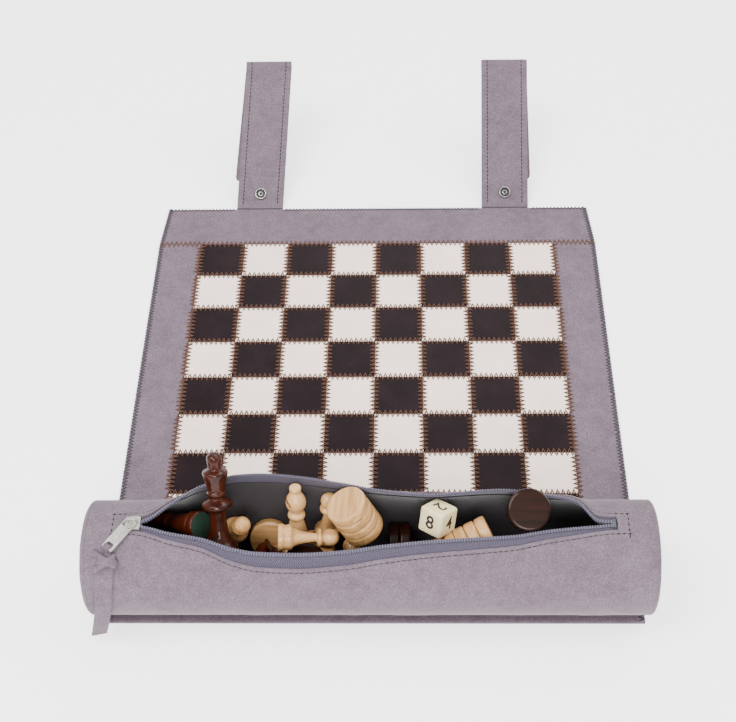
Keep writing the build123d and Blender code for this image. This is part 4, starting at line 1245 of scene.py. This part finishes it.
STRAP_PATH = strap_path()
STRAP_LENGTH = STRAP_PATH[-1][2]
SOCKET = [(0, -2.2), (4.2, -2.2), (4.75, -1.9), (4.75, -1.15), (2, -1.15), (2, 1.15), (5.75, 1.15), (5.75, 2.3),
          (5.3, 2.85), (4.9, 3.15), (4.4, 3.15), (4.05, 2.7), (3.9, 1.6), (2.2, 1.5), (2.1, 2.3), (1.5, 2.4),
          (1.2, 1.6), (0, 1.55)]
# The dark disc over the floor of the socket's well: painted shade for the shadow down in it.
WELL_SHADE = [(0, 1.3), (3.95, 1.3), (3.98, 2.25), (3.6, 1.75), (2.15, 1.75), (0, 1.7)]
STUD = [(0, -3.55), (1.2, -3.5), (1.8, -2.85), (1.4, -1.85), (4.75, -1.85), (4.75, -1.15), (2, -1.15), (2, 1.15),
        (5.75, 1.15), (5.75, 1.45), (4.6, 2.05), (2.4, 2.15), (0, 2.15)]
BEAD = [(-1.6, -1.1), (0, -1.1), (0.6, -0.85), (0.98, -0.4), (1.1, 0), (0.98, 0.4), (0.6, 0.85), (0, 1.07),
        (-0.6, 1.05), (-1.6, 0.95)]


def strap_middle(side, along):
    """How far from the middle of the mat a strap is at this length. The straps don't stand quite square."""
    at_fold, at_tip = LEAN[side]
    if along < RUN:
        return STRAPS[side] + at_fold * along / RUN
    return STRAPS[side] + at_fold + (at_tip - at_fold) * (along - RUN) / (STRAP_LENGTH - RUN)


# The bead at a strap's root closes the gap there; its dark grey colour is painted shade for the crease where strap
# meets mat.
def root_shade_bead(x):
    count = len(BEAD)
    points = [(x + w, BASE.y + y, BASE.z + z) for w in (-21.4, 21.4) for y, z in BEAD]
    faces = [tuple(range(count)), tuple(range(count, 2 * count))]
    faces += [(k, (k + 1) % count, count + (k + 1) % count, count + k) for k in range(count)]
    return points, faces


for side, x in STRAPS.items():
    outer, inner = [], []
    for point, normal, along in STRAP_PATH:
        half = strap_half_width(STRAP_LENGTH - along)
        middle = strap_middle(side, along)
        rows = ([], [])
        for u in both_ways([1, .992, .975, .94, .8, .6, .3]):
            edge = (1 - abs(u)) * half
            thin = 0.45 * max(0.0, 1 - edge / 1.2)**2 + 0.18 * max(0.0, 1 - abs(edge - SEWN_IN) / 0.8)
            soft = 0.12 * noise.noise(Vector((u * 2, along / 22, x)))
            for row, face in zip(rows, (1, -1)):
                row.append(Vector((middle + u * half, 0, 0)) + point + normal * (face * (THICK / 2 - thin) + soft))
        outer.append(rows[0])
        inner.append(rows[1])
    strap = grid_piece(f"strap_{side}_leather", outer, inner, strap_finish)
    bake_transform(strap)
    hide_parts(f"strap_{side}_run", f"strap_{side}_fold", f"strap_{side}_return")
    lines = [[(Vector((strap_middle(side, along) + u * (STRAP_WIDTH / 2 - SEWN_IN), 0, 0)) + p
               + n * face * THICK / 2, n * face) for p, n, along in STRAP_PATH if 3 < along < STRAP_LENGTH - 6]
             for face in (1, -1) for u in (-1, 1)]
    stitches = running(f"strap_{side}_stitches", lines, pouch_thread, 3.5, (3.1, 1.05, 0.75))
    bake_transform(stitches)
    # Dark grey bead: it closes the gap at the root and paints the crease's shade.
    root = new_piece(f"strap_{side}_root_shade_bead", *root_shade_bead(x), grey_thread)
    face_outward(root.data)
    dress(root, "far_band", "nubuck")

    socket_foot = Vector((strap_middle(side, SOCKET_AT), 0, 0)) + BASE + heading(RISE) * SOCKET_AT
    at_socket = [(socket_foot, heading(FOLD_START))]
    ring = turned(f"snap_ring_{side}", soft_corners(SOCKET, 0.25), at_socket, snap_metal, 64)
    dress(ring, f"strap_{side}_lower", "snap_metal", f"snap_socket_{side}")
    # A disc of dark metal in the well paints the shade down in it.
    well = turned(f"snap_well_{side}", WELL_SHADE, at_socket, well_shade_metal, 64)
    dress(well, f"strap_{side}_lower", "snap_metal")
    stud_foot = Vector((strap_middle(side, STRAP_LENGTH - STUD_FROM_TIP), 0, 0)) + FOLD_CENTRE
    stud_foot += heading(FOLD_END) * FOLD + heading(FALL) * (TAIL - STUD_FROM_TIP)
    cap = turned(f"snap_cap_{side}", soft_corners(STUD, 0.25), [(stud_foot, heading(FOLD_END))], snap_metal, 64)
    dress(cap, f"strap_{side}_upper", "snap_metal", f"snap_stud_{side}")
print("straps", list(STRAPS))

# %% [markdown]
# ## The men
# Each man is a profile spun on a lathe, with its corners softened, and it keeps its own grain. Draughtsmen
# are flat-faced discs with rounded rims, cut from a plank, so their grain runs across them. The bishops have
# a slanting saw cut. The knight's head is sawn from a plank and rounded over.

# %% Men
REST, DISC_RADIUS, DISC_STEP = 0.2, 15.0, 8.25


def inside(x, behind, above):
    return Vector((x, AXIS_Y + behind, AXIS_Z + above))


def trough(behind, radius):
    return REST - math.sqrt(INSIDE**2 - (abs(behind) + radius)**2)


def stack(foot, way, count):
    way = Vector(way).normalized()
    return [(foot + way * (i * DISC_STEP), way) for i in range(count)]


EDGE_SEAT = INSIDE - DISC_RADIUS - REST
SHADOW_ANGLE = -30.0
BELOW_ANGLE = SHADOW_ANGLE - 2 * math.degrees(math.asin((DISC_RADIUS + REST / 2) / EDGE_SEAT))


def on_edge(x, angle, count):
    middle = heading(angle) * EDGE_SEAT
    return stack(inside(x, middle.y, middle.z), (1, 0, 0), count)


DISC = [(0, 0), (5, 0), (13.3, 0), (14.5, 0.4), (15, 1.5), (15, 6.7), (14.5, 7.8), (13.3, 8.2), (5, 8.2), (0, 8.2)]
PAWN = [(0, 0), (9.8, 0), (9.8, 3), (9.1, 4.2), (8.8, 5.5), (9.2, 7.2), (9.1, 9), (8, 10), (6.4, 11.5), (4.9, 15),
        (3.8, 20), (2.95, 26.6), (3.2, 27.3), (6.2, 28.4), (6.5, 29.5), (6.2, 30.6), (3.6, 32), (4.8, 33.2),
        (5.9, 35), (6.2, 37), (5.7, 39.6), (4.4, 41.4), (2.2, 42.7), (0, 43)]
KING = [(0, 0), (14, 0), (14, 4.5), (12.9, 5.8), (12.6, 7), (13.2, 8.5), (12.8, 10.3), (11.2, 11.6), (9.5, 14),
        (7.6, 18), (6.5, 22.5), (5.9, 29), (6.1, 36), (6.9, 38), (10.4, 39), (11, 40.8), (10.6, 42.8), (7.4, 44.2),
        (5.3, 45.6), (5.2, 47.4), (6.9, 48.8), (7.1, 50.2), (6.2, 51.6), (6.2, 53), (7.2, 57.5), (8.8, 63),
        (9.2, 64.6), (8.8, 66.1), (6.6, 67), (5, 67.6), (4.8, 69), (5.1, 72), (5.5, 74.6), (5.3, 77), (4.2, 78.3),
        (2.9, 78.9), (2.2, 79.8), (0, 80)]
BISHOP = [(0, 0), (10.5, 0), (10.5, 3.5), (9.7, 4.7), (9.4, 6), (9.9, 7.5), (9.6, 9.3), (8.6, 10.6), (8, 12.5),
          (7.3, 16), (6.4, 22), (5, 28), (4.9, 29.6), (6.1, 31.4), (6.4, 32.7), (6.1, 34), (4.2, 35.6),
          (4.4, 37), (6.1, 39.4), (7.2, 42), (7.4, 44.2), (6.9, 47.4), (5.1, 50.8), (3.2, 52.8), (3.1, 53.5),
          (4.1, 54.4), (4.3, 56), (4.1, 57.6), (3.4, 58), (0, 58)]
FOOT = [(0, 0), (10.5, 0), (10.5, 3.5), (9.6, 4.7), (9.2, 6), (9.7, 7.5), (9.4, 9.3), (8.2, 10.6), (6.8, 12),
        (6.8, 13.6), (6.2, 14), (0, 14)]


dark_places = stack(inside(-107, 0, trough(0, 15)), UP, 4) + stack(inside(-46, -13, trough(-13, 15)), UP, 5)
dark_places += on_edge(12.5, SHADOW_ANGLE, 2) + on_edge(38, -90, 2)
dark_places += stack(inside(111, 15.4, 35.6), (0, -0.55, 0.84), 2)
lean = Vector((0, -0.87, 0.5)).normalized()
flat_seat = math.sqrt(INSIDE**2 - DISC_RADIUS**2) - REST
light_places = stack(inside(-75, 0, 0) - lean * flat_seat, lean, 1)
light_places += stack(inside(-42, 17, trough(17, 15)), UP, 1)
light_places += stack(inside(-4, 13, 15.9), (-0.41, 0.04, 0.905), 4)
light_places += stack(inside(42.3, -10.3, 5.3), (0.89, 0.32, 0.31), 6)
light_places += on_edge(12.5, BELOW_ANGLE, 2) + on_edge(54.5, -90, 1)
dress(turned("dark_discs", soft_corners(DISC), dark_places, disc_wood, 64, 3, plank=True), "pouch",
      "dark_wood", "dark_draughts")
dress(turned("light_discs", soft_corners(DISC), light_places, light_wood, 64, 5, plank=True), "pouch",
      "light_wood", "light_draughts")

pawn_places = [(inside(-100.7, 28.6, -7.9), (0.25, -0.46, 0.85)), (inside(-65, -1.2, 26.6), (1, 0.06, -0.085)),
               (inside(-33, 22.7, -8), (0.09, 0.175, 0.98)), (inside(-14, 7, trough(7, 9.8)), UP)]
dress(turned("pawns", soft_corners(PAWN), pawn_places, light_wood, 48, 9), "pouch", "light_wood", "light_pawns")
king_places = [(inside(-107, -4.5, 6.2), (-0.025, 0.533, 0.846))]
dress(turned("king", soft_corners(KING), king_places, dark_wood, 64, 2), "pouch", "dark_wood", "dark_king")


def bishop(tone, foot, way, slot_side, finish, seed):
    """A bishop with its saw cut, which slopes down inwards from this side."""
    name = f"{tone}_bishop_turned"
    way, slot_side = Vector(way).normalized(), Vector(slot_side).normalized()
    piece = turned(name, soft_corners(BISHOP), [(foot, way)], finish, 64, seed)
    slant = way * 0.58 - slot_side * 0.81
    side = way.cross(slot_side).normalized()
    middle = foot + way * 47.2 + slot_side * 6.2
    half_wide, half_deep, half_thick = 14, 4.8, 0.8
    mesh = bpy.data.meshes.new(name + "_cut")
    ahead = slant.cross(side).normalized()
    corners = [middle + side * a * half_wide + ahead * b * half_deep + slant * c * half_thick
               for c in (-1, 1) for a, b in ((-1, -1), (1, -1), (1, 1), (-1, 1))]
    mesh.from_pydata([tuple(p * MM) for p in corners], [],
                     [(3, 2, 1, 0), (4, 5, 6, 7), (0, 1, 5, 4), (1, 2, 6, 5), (2, 3, 7, 6), (3, 0, 4, 7)])
    face_outward(mesh)
    saw = add(name + "_cut", mesh)
    cut = piece.modifiers.new("cut", "BOOLEAN")
    cut.operation, cut.object, cut.solver = "DIFFERENCE", saw, "EXACT"
    made = final_mesh(piece)
    piece.modifiers.remove(cut)
    piece.data = made
    bpy.data.objects.remove(saw)
    made.set_sharp_from_angle(angle=math.radians(40))
    dress(piece, "pouch", f"{tone}_wood", f"{tone}_bishop")


DARK_BISHOP = (inside(-120, 8, 27.5), (-0.80, 0.42, -0.43))
bishop("dark", *DARK_BISHOP, (0, -0.72, -0.7), dark_wood, 4)
bishop("light", inside(-53, 11.8, -8.2), (0, 0.276, 0.961), (-0.98, -0.2, 0), light_wood, 6)

knight_foot = inside(-76, 2, trough(2, 10.5))
HEAD = [(-6.5, 13), (5.5, 13), (4.8, 17), (4.2, 21), (4.4, 23.5), (5.5, 25.5), (8, 26.6), (10, 27.3), (11.5, 28.5),
        (12.8, 30.2), (13, 32), (12.6, 34), (11.5, 35.5), (8.5, 38.4), (6.4, 40.8), (5, 42), (4.4, 44.5), (4, 47),
        (2, 51), (0.2, 48.5), (-0.5, 46.5), (-2.8, 44.9), (-4.5, 43), (-6.4, 39.6), (-7.5, 36), (-8.2, 31),
        (-8, 27), (-7.2, 20)]
EYE = [(0, -0.9), (0.6, -0.65), (0.9, 0), (0.6, 0.65), (0, 0.9)]
upright = Matrix.Translation(knight_foot) @ Matrix(((1, 0, 0, 0), (0, 0, -1, 0), (0, 1, 0, 0), (0, 0, 0, 1)))
knight_parts = [turned("knight_foot", soft_corners(FOOT), [(knight_foot, UP)], dark_wood, 64, 8),
                sawn_shape("knight_head", [HEAD], 4.5, 1.8, upright, dark_wood)]
knight_parts += [turned(f"knight_eye_{side}", EYE, [(knight_foot + Vector((4.2, side * 4.3, 37.0)), UP)],
                        dark_wood, 16, 1) for side in (-1, 1)]
dress(joined("knight", knight_parts), "pouch", "dark_wood", "dark_knight")

cube_x = Vector((0.78, -0.6, 0.17)).normalized()
cube_z = Vector((0.12, 0.42, 0.9))
cube_z = (cube_z - cube_x * cube_z.dot(cube_x)).normalized()
cube_turn = Matrix.Translation(inside(48, 12.3, 30.4)) @ Matrix(
    (cube_x, cube_z.cross(cube_x), cube_z)).transposed().to_4x4()


def dice_cube(size, rounding):
    mesh = bpy.data.meshes.new("doubling_cube_ivory")
    bm = bmesh.new()
    bmesh.ops.create_cube(bm, size=size * MM)
    bmesh.ops.bevel(bm, geom=bm.edges[:] + bm.verts[:], offset=rounding * MM, segments=6, profile=0.5,
                    affect="EDGES")
    bm.transform(Matrix.Translation(cube_turn.translation * MM) @ cube_turn.to_3x3().to_4x4())
    bm.to_mesh(mesh)
    bm.free()
    mesh.materials.append(ivory)
    shade(mesh, 60)
    dress(add("doubling_cube_ivory", mesh), "pouch", "ivory_plastic", "doubling_cube")


CUBE = 19.5
dice_cube(CUBE, 2.2)
print("men turned")

# %% [markdown]
# ## Numbers and felt
# The cube's numbers are plain and dark, and stand a hair proud of its faces. Opposite faces carry 2 and
# 64, 4 and 32, 8 and 16. A round of green felt closes the foot of the bishop whose foot can be seen.

# %% Numbers and felt
def raised_number(text, way, turn):
    """A number on the cube's face that looks this way in the cube's own axes, turned by so many degrees."""
    data = bpy.data.curves.new("number_" + text, "FONT")
    data.body, data.size, data.extrude = text, 14.0 if len(text) == 1 else 11.2, 0.06
    data.align_x, data.align_y = "CENTER", "CENTER"
    data.offset = 0.22
    data.resolution_u = 6
    made = curve_mesh("number_" + text, data)
    normal = Vector(way)
    up = Vector((0, 1, 0)) if abs(normal.z) > 0.5 else Vector((0, 0, 1))
    across = up.cross(normal)
    local = Matrix((across, up, normal)).transposed().to_4x4() @ Matrix.Rotation(math.radians(turn), 4, "Z")
    matrix = cube_turn @ Matrix.Translation(normal * (CUBE / 2 + 0.04)) @ local
    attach(new_piece("number_" + text, *carried(made, matrix), number_ink, 30), "pouch")


number_ink = smooth_leather("number_ink", colour(40, 34, 32), colour(52, 46, 42), 0.05)
for text, way, turn in (("2", (0, 0, 1), -100), ("64", (0, 0, -1), 0), ("8", (0, -1, 0), 0),
                        ("16", (0, 1, 0), 0), ("4", (1, 0, 0), 0), ("32", (-1, 0, 0), 0)):
    raised_number(text, way, turn)
FELT = [(0, -0.32), (9.4, -0.32), (9.8, -0.2), (9.8, -0.03), (0, -0.03)]
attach(turned("felt_round", FELT, [DARK_BISHOP], felt_finish), "pouch")
print("numbers 6, felt 1")
